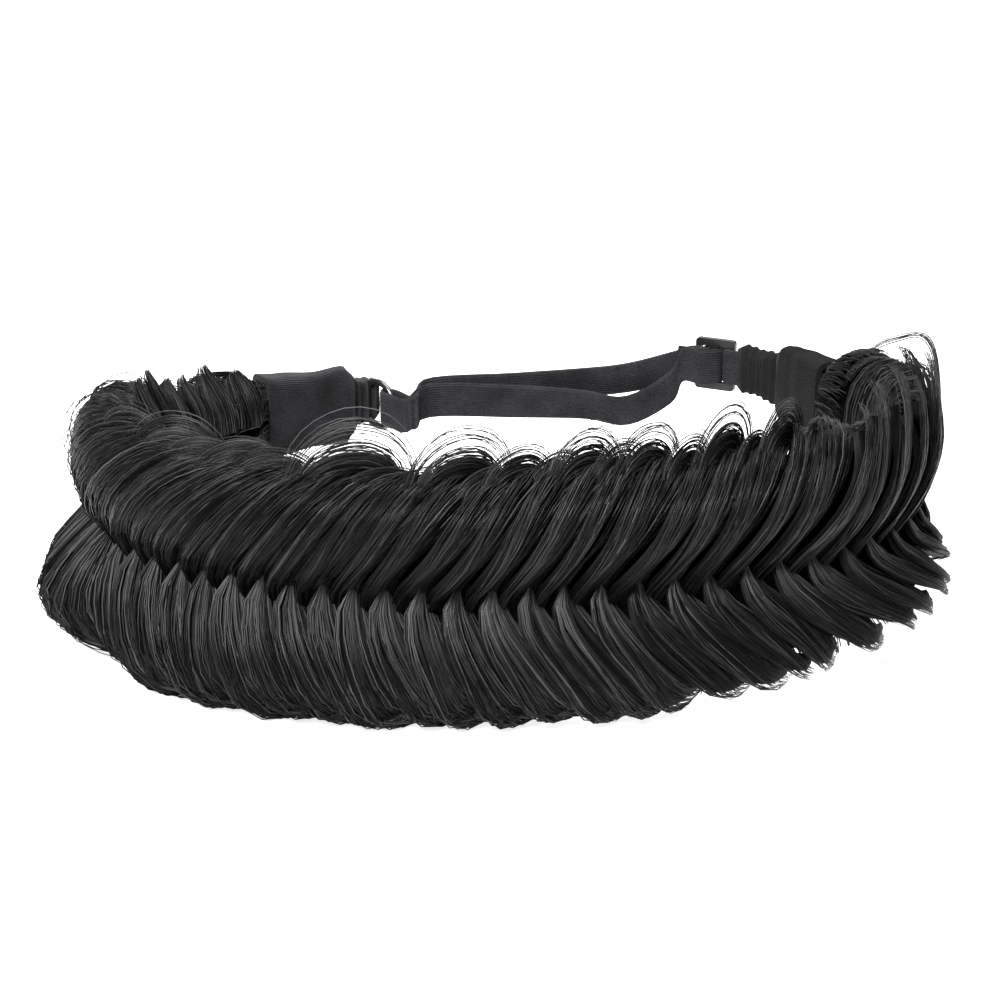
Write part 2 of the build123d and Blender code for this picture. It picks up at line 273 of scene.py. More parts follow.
# Adds a table of nodes. A row holds the name of the result, the node's one setting and its inputs, which are
# values or the names of earlier results.
def addSteps(tree, made, kind, setting, rows):
    for name, choice, *terms in rows:
        inputs = {k: made[term] if isinstance(term, str) else term for k, term in enumerate(terms)}
        made[name] = addNode(tree, kind, {setting: choice}, inputs).outputs[0]


def srgb(code, alpha=1.0):
    parts = [int(code[k:k + 2], 16) / 255 for k in (1, 3, 5)]
    return [p / 12.92 if p <= 0.04045 else ((p + 0.055) / 1.055) ** 2.4 for p in parts] + [alpha]


def newMaterial(name):
    material = bpy.data.materials.new(name)
    material.use_nodes = True
    tree = material.node_tree
    return material, tree, tree.nodes["Principled BSDF"]


# Modacrylic fibre, dyed black and drawn smooth: its strands differ a little in tone at random, and a few
# carry a painted highlight, a light grey base colour that stands in for their sheen
hairFibre = {
    "dark": "#050506",
    "light": "#414142",      # a few strands only: a painted highlight, as if the light ran along them
    "roughness": 0.30,
    "ior": 1.5,
    "specular": 0.08,        # under 0.5, for the light lost between the strands
}


def makeFibreMaterial():
    material, tree, shader = newMaterial("modacrylicFibre")
    tone = addNode(tree, "ShaderNodeAttribute", {"attribute_name": "tone"})
    tint = addNode(tree, "ShaderNodeMix", {"data_type": "RGBA"},
                   {0: tone.outputs["Fac"], 6: srgb(hairFibre["dark"]), 7: srgb(hairFibre["light"])})
    fillInputs(tree, shader, {"Base Color": tint.outputs[2], "Roughness": hairFibre["roughness"],
                              "IOR": hairFibre["ior"], "Specular IOR Level": hairFibre["specular"]})
    return material


# The same fibre, seen as a combed bundle: fine dark and light lines that run with the hair
hairBundle = {
    "dark": "#040404",
    "light": "#131315",
    "lineWidth": 0.3,        # coarser than the 0.08 mm fibre, so that it shows
    "lineLength": 14.0,
    "bump": 0.25,
    "roughness": 0.5,
    "ior": 1.5,
    "specular": 0.05,
}

# And deep in the braid: a darker copy of the bundle colours, painted shade where hardly any light comes
hairShadow = dict(hairBundle, dark="#010101", light="#050505", roughness=0.7, specular=0.02)


def makeBundleMaterial(name, finish):
    material, tree, shader = newMaterial(name)
    lay = addNode(tree, "ShaderNodeUVMap", {"uv_map": "lay"})
    stretch = addNode(tree, "ShaderNodeMapping", None, {
        "Vector": lay.outputs[0],
        "Scale": (1 / finish["lineWidth"], 1 / finish["lineLength"], 1.0)})
    lines = addNode(tree, "ShaderNodeTexNoise", {"noise_dimensions": "2D"},
                    {"Vector": stretch.outputs[0], "Scale": 1.0, "Detail": 2.0, "Roughness": 0.6})
    tint = addNode(tree, "ShaderNodeMix", {"data_type": "RGBA"},
                   {0: lines.outputs["Fac"], 6: srgb(finish["dark"]), 7: srgb(finish["light"])})
    bump = addNode(tree, "ShaderNodeBump", None,
                   {"Height": lines.outputs["Fac"], "Strength": 0.6, "Distance": finish["bump"] * mm})
    fillInputs(tree, shader, {"Base Color": tint.outputs[2], "Normal": bump.outputs[0],
                              "Roughness": finish["roughness"], "IOR": finish["ior"],
                              "Specular IOR Level": finish["specular"]})
    return material


# Strands, made by one tree for every row, loop and tuft. Their places are shares of a lock and of its
# length, and thickness, lift and arch are in millimetres.
strandSizes = {
    "First lock": ("NodeSocketInt", 0),
    "Lock count": ("NodeSocketInt", 10),
    "All locks": ("NodeSocketInt", 50),
    "Strands a lock": ("NodeSocketInt", 40),
    "Points": ("NodeSocketInt", 11),
    "Sides": ("NodeSocketInt", 3),
    "Thickness": ("NodeSocketFloat", 0.3),
    "Thickness spread": ("NodeSocketFloat", 0.22),
    "Tip": ("NodeSocketFloat", 0.4),
    "Start": ("NodeSocketFloat", 0.0),
    "Start spread": ("NodeSocketFloat", 0.02),
    "End": ("NodeSocketFloat", 0.7),
    "End spread": ("NodeSocketFloat", 0.05),
    "Margin": ("NodeSocketFloat", 0.01),
    "Jitter": ("NodeSocketFloat", 1.0),      # 0 spaces the strands evenly
    "Wander": ("NodeSocketFloat", 0.1),
    "Slide spread": ("NodeSocketFloat", 0.0),
    "Lift": ("NodeSocketFloat", 0.4),
    "Arch": ("NodeSocketFloat", 0.0),
    "Arch spread": ("NodeSocketFloat", 0.0),
    "Clump": ("NodeSocketInt", 7),           # strands that keep together
    "Clump wander": ("NodeSocketFloat", 0.0),
    # these three scale the strands' colour: painted light and shade for a run, at a strand's root and at its
    # end
    "Tone": ("NodeSocketFloat", 1.0),
    "Root tone": ("NodeSocketFloat", 1.0),
    "End tone": ("NodeSocketFloat", 1.0),
    "Seed": ("NodeSocketInt", 1),
    "Material": ("NodeSocketMaterial", None),
}


def makeStrandTree():
    tree = bpy.data.node_groups.new("strandsOverRow", "GeometryNodeTree")
    tree.interface.new_socket("Geometry", in_out="INPUT", socket_type="NodeSocketGeometry")
    for name, (kind, value) in strandSizes.items():
        socket = tree.interface.new_socket(name, in_out="INPUT", socket_type=kind)
        if value is not None:
            socket.default_value = value
    tree.interface.new_socket("Geometry", in_out="OUTPUT", socket_type="NodeSocketGeometry")
    given = tree.nodes.new("NodeGroupInput").outputs
    result = tree.nodes.new("NodeGroupOutput").inputs

    made = {name: given[name] for name in strandSizes}

    # One straight line for each strand, with its number and its share of the way along it
    line = addNode(tree, "GeometryNodeCurvePrimitiveLine").outputs[0]
    line = addNode(tree, "GeometryNodeResampleCurve", None,
                   {"Curve": line, "Count": given["Points"]}).outputs[0]
    addSteps(tree, made, "ShaderNodeMath", "operation", [
        ("total", "MULTIPLY", "Lock count", "Strands a lock")])
    copies = addNode(tree, "GeometryNodeDuplicateElements", {"domain": "SPLINE"},
                     {"Geometry": line, "Amount": made["total"]}).outputs
    factor = addNode(tree, "GeometryNodeSplineParameter").outputs["Factor"]
    strands = copies[0]
    values = [("strand", copies[1], "INT", "CURVE"), ("share", factor, "FLOAT", "POINT")]
    for name, value, kind, domain in values:
        strands = addNode(tree, "GeometryNodeStoreNamedAttribute", {"data_type": kind, "domain": domain},
                          {"Geometry": strands, "Name": name, "Value": value}).outputs[0]
        made[name] = addNode(tree, "GeometryNodeInputNamedAttribute", {"data_type": kind},
                             {"Name": name}).outputs[0]
    addSteps(tree, made, "ShaderNodeMath", "operation", [
        ("ownLock", "DIVIDE", "strand", "Strands a lock"),
        ("ownLock", "FLOOR", "ownLock"),
        ("before", "MULTIPLY", "ownLock", "Strands a lock"),
        ("within", "SUBTRACT", "strand", "before"),
        ("lock", "ADD", "ownLock", "First lock"),
        ("clump", "DIVIDE", "strand", "Clump"),
        ("clump", "FLOOR", "clump"),
    ])

    # Random numbers, each with whose it is and its range. Their order gives their seeds.
    draws = [
        ("sideDraw", "strand", -0.5, 0.5), ("startDraw", "strand", -1.0, 1.0),
        ("endDraw", "strand", -1.0, 1.0), ("slideDraw", "strand", -1.0, 1.0),
        ("layerDraw", "strand", 0.0, 1.0), ("lockArch", "lock", 0.0, 1.0),
        ("ownArch", "strand", 0.0, 1.0), ("ownTone", "strand", 0.0, 1.0),
        ("thickDraw", "strand", -1.0, 1.0), ("lockTone", "lock", 0.0, 1.0),
        ("clumpTone", "clump", 0.0, 1.0),
    ]
    for number, (name, owner, low, high) in enumerate(draws, 1):
        seed = addNode(tree, "FunctionNodeIntegerMath", {"operation": "ADD"}, {0: given["Seed"], 1: number})
        made[name] = addNode(tree, "FunctionNodeRandomValue", {"data_type": "FLOAT"},
                             {2: low, 3: high, 7: made[owner], 8: seed.outputs[0]}).outputs[1]

    # How far along its lock each point of a strand lies
    addSteps(tree, made, "ShaderNodeMath", "operation", [
        ("start", "MULTIPLY_ADD", "startDraw", "Start spread", "Start"),
        ("end", "MULTIPLY_ADD", "endDraw", "End spread", "End"),
        ("run", "SUBTRACT", "end", "start"),
        ("length", "MULTIPLY_ADD", "run", "share", "start"),
        ("length", "MAXIMUM", "length", 0.001),        # stays on the sheet
        ("length", "MINIMUM", "length", 0.999),
    ])

    # Noise that moves a strand, and the clump it is in: how far apart two of them lie in the noise, so that
    # they go separate ways, how many turns they take along a lock, and the noise's detail
    noises = [("drift", "strand", 7.31, 2.2, 1.0), ("sway", "clump", 3.17, 1.6, 0.0)]
    for name, owner, spacing, turns, detail in noises:
        addSteps(tree, made, "ShaderNodeMath", "operation", [
            ("noiseX", "MULTIPLY", owner, spacing), ("noiseY", "MULTIPLY", "length", turns)])
        spot = addNode(tree, "ShaderNodeCombineXYZ", None, {0: made["noiseX"], 1: made["noiseY"]})
        made[name] = addNode(tree, "ShaderNodeTexNoise", {"noise_dimensions": "2D"},
                             {"Vector": spot.outputs[0], "Scale": 1.0, "Detail": detail}).outputs["Fac"]

    addSteps(tree, made, "ShaderNodeMath", "operation", [
        # Across the lock
        ("spot", "ADD", "within", 0.5),
        ("spot", "MULTIPLY_ADD", "sideDraw", "Jitter", "spot"),
        ("spot", "DIVIDE", "spot", "Strands a lock"),
        ("way", "SUBTRACT", "drift", 0.5),             # noise is 0.5 on average
        ("widest", "MULTIPLY", "Wander", 2.0),
        ("spot", "MULTIPLY_ADD", "way", "widest", "spot"),
        ("way", "SUBTRACT", "sway", 0.5),
        ("widest", "MULTIPLY", "Clump wander", 2.0),
        ("spot", "MULTIPLY_ADD", "way", "widest", "spot"),
        ("slide", "MULTIPLY", "slideDraw", "Slide spread"),
        ("spot", "MULTIPLY_ADD", "slide", "share", "spot"),
        ("spot", "MAXIMUM", "spot", 0.0),
        ("spot", "MINIMUM", "spot", 1.0),
        ("margins", "MULTIPLY", "Margin", 2.0),
        ("width", "SUBTRACT", 1.0, "margins"),
        ("across", "ADD", "lock", "Margin"),
        ("across", "MULTIPLY_ADD", "spot", "width", "across"),
        ("across", "DIVIDE", "across", "All locks"),
        ("across", "MAXIMUM", "across", 0.0003),       # stays on the sheets
        ("across", "MINIMUM", "across", 0.9997),
        # Over the lock: a layer of hair, and the arch of a loop
        ("layer", "MULTIPLY", "layerDraw", "Lift"),
        ("uneven", "MULTIPLY_ADD", "drift", 1.2, 0.4),         # 1 on average
        ("layer", "MULTIPLY", "layer", "uneven"),
        ("ridge", "MULTIPLY", "sway", "Clump wander"),
        ("layer", "MULTIPLY_ADD", "ridge", 6.0, "layer"),
        ("lockArch", "MULTIPLY_ADD", "lockArch", 0.65, 0.35),  # some locks have lower loops than others
        ("arch", "POWER", "ownArch", 1.4),             # low loops are more common than high ones
        ("arch", "MULTIPLY", "arch", "lockArch"),
        ("arch", "MULTIPLY_ADD", "Arch spread", "arch", "Arch"),
        ("bow", "MULTIPLY", "share", math.pi),
        ("bow", "SINE", "bow"),
        ("bow", "POWER", "bow", 0.85),                 # a little squarer than a sine
        ("away", "MULTIPLY_ADD", "arch", "bow", "layer"),
        ("away", "MULTIPLY", "away", mm),
    ])
    spot = addNode(tree, "ShaderNodeCombineXYZ", None, {0: made["across"], 1: made["length"]}).outputs[0]
    for name in ("lay", "position", "outward"):
        made[name] = addNode(tree, "GeometryNodeInputNamedAttribute", {"data_type": "FLOAT_VECTOR"},
                             {"Name": name}).outputs[0]
    for name in ("position", "outward"):
        made[name] = addNode(tree, "GeometryNodeSampleUVSurface", {"data_type": "FLOAT_VECTOR"},
                             {0: given["Geometry"], 1: made[name], 2: made["lay"], 3: spot}).outputs[0]
    rise = addNode(tree, "ShaderNodeVectorMath", {"operation": "SCALE"},
                   {0: made["outward"], "Scale": made["away"]})
    spot = addNode(tree, "ShaderNodeVectorMath", {"operation": "ADD"},
                   {0: made["position"], 1: rise.outputs[0]})
    strands = addNode(tree, "GeometryNodeSetPosition", None,
                      {0: strands, "Position": spot.outputs[0]}).outputs[0]

    # Changes along a strand, each from one value to another between two places: the glint is a painted
    # highlight that comes and goes, and the root and end shades paint light and shade
    addSteps(tree, made, "ShaderNodeMapRange", "interpolation_type", [
        ("paintedGlint", "LINEAR", "drift", 0.3, 0.7, 0.3, 1.7),
        ("rootShade", "SMOOTHSTEP", "length", 0.05, 0.34, "Root tone", 1.0),
        ("endShade", "SMOOTHSTEP", "length", 0.40, 0.90, 1.0, "End tone"),
        ("taper", "SMOOTHSTEP", "share", 0.7, 1.0, 1.0, "Tip"),
    ])
    addSteps(tree, made, "ShaderNodeMath", "operation", [
        ("tone", "POWER", "ownTone", 4.5),             # few strands are light
        ("tone", "MULTIPLY", "tone", 0.7),
        ("tone", "MULTIPLY_ADD", "lockTone", 0.08, "tone"),
        ("clumpTone", "POWER", "clumpTone", 2.0),      # and few clumps
        ("tone", "MULTIPLY_ADD", "clumpTone", 0.22, "tone"),
        ("tone", "MULTIPLY", "tone", "Tone"),
        # painted light and shade: the glint and the root and end shading scale the strand's colour
        ("tone", "MULTIPLY", "tone", "paintedGlint"),
        ("shade", "MULTIPLY", "rootShade", "endShade"),
        ("tone", "MULTIPLY", "tone", "shade"),
        ("thick", "MULTIPLY_ADD", "thickDraw", "Thickness spread", 1.0),
        ("radius", "MULTIPLY", "thick", 0.5 * mm),     # thickness is twice the radius
        ("radius", "MULTIPLY", "Thickness", "radius"),
        ("radius", "MULTIPLY", "radius", "taper"),
    ])
    strands = addNode(tree, "GeometryNodeStoreNamedAttribute", {"data_type": "FLOAT", "domain": "POINT"},
                      {"Geometry": strands, "Name": "tone", "Value": made["tone"]}).outputs[0]
    ring = addNode(tree, "GeometryNodeCurvePrimitiveCircle", None,
                   {"Resolution": given["Sides"], "Radius": 1.0})
    tubes = addNode(tree, "GeometryNodeCurveToMesh", None, {
        0: strands, 1: ring.outputs[0], "Scale": made["radius"], "Fill Caps": True})
    even = addNode(tree, "GeometryNodeSetShadeSmooth", None, {0: tubes.outputs[0], "Shade Smooth": True})
    whole = addNode(tree, "GeometryNodeRealizeInstances", None, {0: even.outputs[0]})
    dressed = addNode(tree, "GeometryNodeSetMaterial", None,
                      {0: whole.outputs[0], "Material": given["Material"]})
    tree.links.new(dressed.outputs[0], result[0])
    return tree


# Grows strands over a surface's sheets and turns them into a plain mesh
def growStrands(name, surface, material, sizes):
    modifier = surface.modifiers.new(name, "NODES")
    modifier.node_group = strandTree
    items = strandTree.interface.items_tree
    names = {item.name: item.identifier for item in items if item.in_out == "INPUT"}
    unknown = set(sizes) - set(names)
    if unknown:
        raise KeyError(sorted(unknown))
    for key, (kind, value) in strandSizes.items():
        modifier[names[key]] = material if key == "Material" else sizes.get(key, value)
    surface.update_tag()
    graph = bpy.context.evaluated_depsgraph_get()
    graph.update()
    mesh = bpy.data.meshes.new_from_object(surface.evaluated_get(graph))
    surface.modifiers.remove(modifier)
    for key in ("strand", "share"):
        if key in mesh.attributes:
            mesh.attributes.remove(mesh.attributes[key])
    mesh.name = name
    made = bpy.data.objects.new(name, mesh)
    bpy.context.scene.collection.objects.link(made)
    print("strands", name, len(mesh.polygons))
    return made


# The braid: two rows of locks that lean towards the right end and overlap like shingles
braid = {
    "upperHeight": 27.0,
    "lowerHeight": 28.0,
    "wing": 11.0,            # how far a row bulges outwards from the groove
    "inner": 8.0,            # and inwards
    "gap": 0.3,              # between the rows
    "endLift": 8.5,          # how high the braid's right end lies
    "leftTongue": 5.0,       # the pressed ends that go into the tabs
    "tongueLength": 9.0,
    "tongueHalfHeight": 9.0,
    "tongueHalfThickness": 3.0,
    "tongueOffset": -2.0,
    "swell": 7.0,            # over which a row grows from a tongue to its full form
    "relief": 2.3,           # how far the locks stand out of the row
    "bundleDepth": 2.6,
    "upperTip": 3.7,         # how far a lock's point crosses the groove, under the lower row's points
    "lowerTip": 2.8,
    "upperTipIn": 1.6,       # how deep it lies there
    "lowerTipIn": -0.7,
    "tipShare": 0.10,        # the share of the outline that a point takes up
    "strandCover": 0.35,     # the bundles lie this far under the strands
    "bundleEnd": 0.97,       # and are this share of a lock's length
    "bundleLoose": 0.6,      # how far they follow loose strands off the row, as a share
    "bundleSinks": (0.75, 1.0),  # the part of their length over which they sink at the end
    "turn": 0.5,             # the share of the outline over which a lock leans
    "furthestTurn": 1.15,
    "endFade": 25.0,         # over which the lean fades at the braid's ends
    "lockEnd": 0.74,         # where on the outline a lock ends that runs over the edge
    "finEnd": 0.44,          # and one that ends in a free point
    "upperTaper": 0.60,      # how much of its width such a lock loses
    "lowerTaper": 0.92,
    "upperTrim": 0.25,       # and how far short of its point the bundle under the strands ends
    "lowerTrim": 0.03,
    "upperSink": 2.8,        # and how far each bundle sinks in at its end
    "lowerSink": 0.6,
}

# How the braid changes along its length, as shares of the sizes above
stations = {
    "columns": ("along", "lift", "upper", "lower", "upperFlare", "lowerFlare"),
    "rows": [
        (0.000, 0.00, 0.38, 0.62, 0.60, 0.55),
        (0.025, 0.00, 0.39, 0.76, 0.65, 0.75),
        (0.080, 0.00, 0.49, 0.86, 0.70, 1.10),
        (0.170, 0.00, 0.88, 0.78, 0.70, 1.36),
        (0.230, 0.00, 1.02, 0.80, 0.68, 1.42),
        (0.262, 0.00, 1.07, 0.78, 0.72, 1.24),
        (0.288, 0.00, 1.10, 0.86, 0.78, 0.60),
        (0.330, 0.00, 1.10, 0.92, 0.85, 0.66),
        (0.370, 0.00, 1.04, 0.91, 0.90, 0.84),
        (0.470, 0.00, 0.97, 0.94, 0.90, 0.88),
        (0.600, 0.08, 1.03, 0.92, 0.90, 0.86),
        (0.690, 0.25, 1.09, 0.82, 0.84, 0.86),
        (0.780, 0.35, 1.08, 0.67, 0.62, 0.84),
        (0.815, 0.37, 1.05, 0.62, 0.50, 0.78),
        (0.845, 0.39, 1.02, 0.58, 0.34, 0.34),
        (0.870, 0.42, 0.98, 0.56, 0.30, 0.22),
        (0.930, 0.70, 0.74, 0.60, 0.42, 0.28),
        (0.975, 1.00, 0.48, 0.66, 0.60, 0.45),
        (1.000, 1.00, 0.50, 0.70, 0.60, 0.50),
    ],
}

# How the locks lie. Lean is in millimetres, and curl bends it towards the lock's end. Relief is a share. Fin
# is 1 where locks end in free points. Free is how far such a point stands off the row, and spire how far it
# stands over the upper row's edge, or out to the right of the lower row, in millimetres.
dressing = {
    "upper": {
        "columns": ("along", "lean", "curl", "relief", "fin", "free", "spire"),
        "rows": [
            (0.00, 5, 1.0, 0.5, 0.3, 0.5, 0.0), (0.04, 6, 1.0, 0.9, 0.7, 1.0, 0.0),
            (0.11, 8, 1.0, 0.9, 0.7, 1.5, 0.0), (0.16, 15, 1.4, 0.7, 0.4, 1.0, 0.0),
            (0.21, 22, 1.7, 0.6, 0.0, 0.0, 0.0), (0.31, 28, 1.7, 0.75, 0.0, 0.0, 0.0),
            (0.37, 25, 1.5, 1.0, 0.0, 0.0, 0.0), (0.42, 21, 1.3, 1.1, 0.0, 0.0, 0.0),
            (0.60, 18, 1.25, 1.1, 0.0, 0.0, 0.0), (0.66, 17, 1.2, 1.0, 0.2, 0.5, 1.0),
            (0.71, 15, 1.1, 0.8, 0.6, 0.6, 5.0), (0.77, 14, 1.0, 0.55, 0.75, 0.5, 7.5),
            (0.82, 13, 1.0, 0.45, 0.6, 0.3, 6.5), (0.87, 12, 1.0, 0.4, 0.2, 0.0, 1.0),
            (0.93, 9, 1.0, 0.4, 0.0, 0.0, 0.0),
            (1.00, 5, 1.0, 0.4, 0.0, 0.0, 0.0),
        ],
    },
    "lower": {
        "columns": ("along", "lean", "curl", "relief", "fin", "free", "spire"),
        "rows": [
            (0.00, 5, 1.2, 0.4, 0.0, 0.0, 0.0), (0.10, 8, 1.6, 0.8, 0.0, 0.0, 0.0),
            (0.24, 7, 2.0, 0.9, 0.0, 0.0, 0.0), (0.31, 13, 2.2, 1.15, 0.0, 0.0, 0.0),
            (0.47, 15, 2.0, 1.2, 0.1, 0.0, 0.0), (0.56, 19, 1.5, 1.1, 0.5, 0.5, 0.5),
            (0.64, 24, 1.15, 0.85, 0.9, 1.0, 2.5), (0.75, 25, 1.0, 0.65, 1.0, 1.2, 3.5),
            (0.79, 20, 1.0, 0.5, 1.0, 0.6, 1.0), (0.86, 12, 1.0, 0.4, 0.5, 0.0, 0.0),
            (0.93, 7, 1.0, 0.4, 0.2, 0.0, 0.0),
            (1.00, 5, 1.1, 0.4, 0.0, 0.0, 0.0),
        ],
    },
}

# The outline of a row, from the groove over its edge to the inside, as shares of wing and height
outlines = {
    "upper": [(0.00, 0.00), (0.45, 0.19), (0.86, 0.44), (1.00, 0.67), (0.75, 0.89),
              (0.25, 1.00), (-0.40, 0.94), (-0.85, 0.70), (-1.00, 0.35), (-1.00, 0.00)],
    "lower": [(0.00, 0.00), (0.42, 0.20), (0.80, 0.45), (1.08, 0.68), (1.00, 0.87),
              (0.45, 1.00), (-0.30, 0.97), (-0.85, 0.75), (-1.00, 0.40), (-1.00, 0.00)],
}

# The locks' pitch in millimetres: 7 at the back left, wider towards the right
pitches = {
    "columns": ("along", "pitch"),
    "rows": [(0.0, 6.9), (0.42, 7.0), (0.5, 8.0), (0.7, 8.4), (1.0, 8.0)],
}

# A lock from its point at the groove: its left edge, its width and its relief, in pitches
lockShapes = {
    "upper": {
        "columns": ("length", "left", "width", "relief"),
        "rows": [(0.00, -0.50, 1.04, 0.25), (0.05, -0.50, 1.10, 0.50), (0.12, -0.50, 1.24, 0.90),
                 (0.24, -0.52, 1.42, 1.00), (0.45, -0.55, 1.60, 1.00), (0.60, -0.52, 1.50, 0.85),
                 (1.00, -0.50, 1.30, 0.40)],
    },
    "lower": {
        "columns": ("length", "left", "width", "relief"),
        "rows": [(0.00, -0.06, 0.12, 0.45), (0.03, -0.34, 0.64, 0.85), (0.065, -0.51, 1.02, 1.05),
                 (0.12, -0.61, 1.34, 1.15), (0.20, -0.65, 1.54, 1.15), (0.34, -0.62, 1.64, 1.10),
                 (0.50, -0.52, 1.55, 1.00), (1.00, -0.50, 1.30, 0.40)],
    },
}

# One lock across: it stands proud at its left edge and sinks to the right, under the next lock
lockAcross = {
    "columns": ("across", "rise"),
    "rows": [(0.0, 0.62), (0.05, 0.95), (0.12, 1.00), (0.30, 0.62), (0.58, -0.35), (0.80, -1.15),
             (1.0, -1.90)],
}


def lockMarks():
    marks = [0.0]
    while marks[-1] < braidLength:
        marks.append(marks[-1] + float(tableAt(pitches, np.array(marks[-1] / braidLength))["pitch"]))
    scale = braidLength / marks[-1]
    return np.array(marks) * scale


grooveMarks = lockMarks()
lockCount = len(grooveMarks) - 1
lockPitch = np.diff(grooveMarks)
print("locks in a row", lockCount)


def outlineCurve(side):
    eased = easedRun(np.array(outlines[side]), 12)
    scale = np.array([braid["wing"], braid["upperHeight"]])
    lengths = np.concatenate(([0.0], np.cumsum(np.linalg.norm(np.diff(eased * scale, axis=0), axis=1))))
    return lengths / lengths[-1], eased


outlineCurves = {side: outlineCurve(side) for side in outlines}


# How far along the braid a lock has leaned over, at some reach from the groove
def leanAt(side, mark, reach):
    style = tableAt(dressing[side], mark / braidLength)
    bend = np.clip(reach / braid["turn"], 0.0, braid["furthestTurn"]) ** style["curl"]
    fade = np.clip(np.minimum(mark, braidLength - mark) / braid["endFade"], 0.0, 1.0)
    return style["lean"] * bend * fade


# Points and outward directions on a row: reach is 0 at the groove and 1 at the inside
def rowPoint(side, mark, reach, rise, leaning=True):
    mark, reach, rise = np.broadcast_arrays(np.asarray(mark, float), reach, rise)
    spot = mark + leanAt(side, mark, reach) if leaning else mark
    here = tableAt(stations, spot / braidLength)
    height = braid[side + "Height"] * here[side]
    wide = braid["wing"] * here[side + "Flare"]
    shares, curve = outlineCurves[side]
    swell = np.minimum(spot - braid["leftTongue"], braidLength - spot - braid["tongueLength"])
    swell = smooth(swell / braid["swell"])

    def section(where):
        outShare = np.interp(where, shares, curve[:, 0])
        upShare = np.interp(where, shares, curve[:, 1])
        flat = braid["tongueOffset"] + braid["tongueHalfThickness"] * np.clip(outShare, -1, 1)
        out = np.where(outShare > 0, outShare * wide, outShare * braid["inner"])
        tall = braid["tongueHalfHeight"]
        return flat + (out - flat) * swell, upShare * (tall + (height - tall) * swell)

    out, up = section(reach)
    step = 0.012             # half the piece of the outline that gives the outward direction
    outBefore, upBefore = section(reach - step)
    outAfter, upAfter = section(reach + step)
    dOut, dUp = outAfter - outBefore, upAfter - upBefore
    size = np.maximum(np.hypot(dOut, dUp), 1e-6)
    normalOut, normalUp = dUp / size, -dOut / size
    point = smooth(1 - reach / braid["tipShare"]) * swell
    out = out - point * braid[side + "TipIn"]
    up = up - point * braid[side + "Tip"]
    sign = 1 if side == "upper" else -1
    height = sign * (up + normalUp * rise * swell + braid["gap"] / 2) + here["lift"] * braid["endLift"]
    points = place(spot, out + normalOut * rise * swell, height)
    outward = headingAt(spot)[1] * normalOut[..., None]
    return points, np.concatenate((outward, (sign * normalUp)[..., None]), -1)


# Small differences between the locks, drawn once for each row: lean, shift and height are in millimetres,
# and the others are shares
lockSpread = {
    "lean": 1.6,
    "relief": 0.25,
    "width": 0.12,
    "shift": 0.4,
    "height": 0.7,
    "reach": 0.07,
}


def lockDraws(seed):
    draw = np.random.default_rng(seed)
    return {key: draw.uniform(-1, 1, lockCount) * size for key, size in lockSpread.items()}


# What changes from a lock's point at the groove, 0, to its end, 1
lockForm = {
    "narrows": (0.36, 1.0),  # where a free point narrows
    "narrowShift": 0.35,     # how far to the right it lies then, as a share of the width lost
    "flattest": 0.3,         # the relief that its tip keeps
    "differs": (0.3, 0.5),   # where on the outline the locks start to stand unevenly
    "leans": (0.0, 0.5),     # and to lean unevenly
    "loosens": (0.6, 1.0),   # where a lock leaves the row
    "rises": (0.55, 1.0),    # where its spire starts
    "finLean": 1.2,          # how much more unevenly free points lean
    "reachSpread": 0.4,      # how unevenly long the locks are that run over the edge
}


# Points on locks, where across is 0 at a lock's left edge and length is 1 at its end
def lockPoints(side, lock, across, length, draws, sink=0.0, loose=1.0, trim=0.0):
    half = 0.0 if side == "upper" else 0.5
    root = grooveMarks[lock] + half * lockPitch[lock] + draws["shift"][lock]
    style = tableAt(dressing[side], np.clip(root / braidLength, 0, 1))
    fin = style["fin"]
    length = length * (1 - trim * fin)
    span = braid["lockEnd"] + (braid["finEnd"] - braid["lockEnd"]) * fin
    reach = length * span * (1 + draws["reach"][lock] * (lockForm["reachSpread"] + fin))
    shape = tableAt(lockShapes[side], reach)
    narrow = 1 - fin * braid[side + "Taper"] * ramp(length, *lockForm["narrows"])
    wide = shape["width"] * (1 + draws["width"][lock]) * narrow
    left = shape["left"] + lockForm["narrowShift"] * shape["width"] * (1 - narrow)
    bow = tableAt(lockAcross, across)["rise"]
    relief = braid["relief"] * (1 + draws["relief"][lock]) * style["relief"] * shape["relief"]
    rise = relief * bow * (lockForm["flattest"] + (1 - lockForm["flattest"]) * narrow) - sink
    rise = rise + draws["height"][lock] * ramp(reach, *lockForm["differs"]) * style["relief"]
    rise = rise + loose * style["free"] * ramp(length, *lockForm["loosens"])
    mark = root + lockPitch[lock] * (left + wide * across)
    mark = mark + draws["lean"][lock] * (1 + lockForm["finLean"] * fin) * ramp(reach, *lockForm["leans"])
    mark = np.clip(mark, 0.0, braidLength)
    points, outward = rowPoint(side, mark, reach, rise)
    spire = style["spire"] * (1 + draws["height"][lock]) * ramp(length, *lockForm["rises"])
    if side == "upper":
        points[..., 2] += spire
    else:
        points[..., :2] += headingAt(mark)[0] * spire[..., None]
    return points, outward


# Every lock of a row as an open sheet, which the strands follow
def lockSurface(side, draws):
    columns, rows = 11, 36
    lock = np.arange(lockCount)[:, None, None]
    length = np.linspace(0, 1, rows)[None, :, None]
    across = np.linspace(0, 1, columns)[None, None, :]
    points, outward = lockPoints(side, lock, across, length, draws)
    return sheetObject(side + "LockSheets", points, outward)


# A row without its locks, for loose hair that crosses from lock to lock
def smoothSurface(side):
    columns, rows = lockCount * 2 + 1, 40
    mark = np.linspace(0, 1, columns)[None, :] * braidLength
    reach = np.linspace(0, 1, rows)[:, None]
    points, outward = rowPoint(side, mark, reach, 0.4)
    uv = np.stack(np.broadcast_arrays(mark / braidLength, reach), -1)
    return meshObject(side + "RowSheet", points.reshape(-1, 3), gridFaces(columns, rows),
                      uv.reshape(-1, 2), {"outward": outward.reshape(-1, 3)})


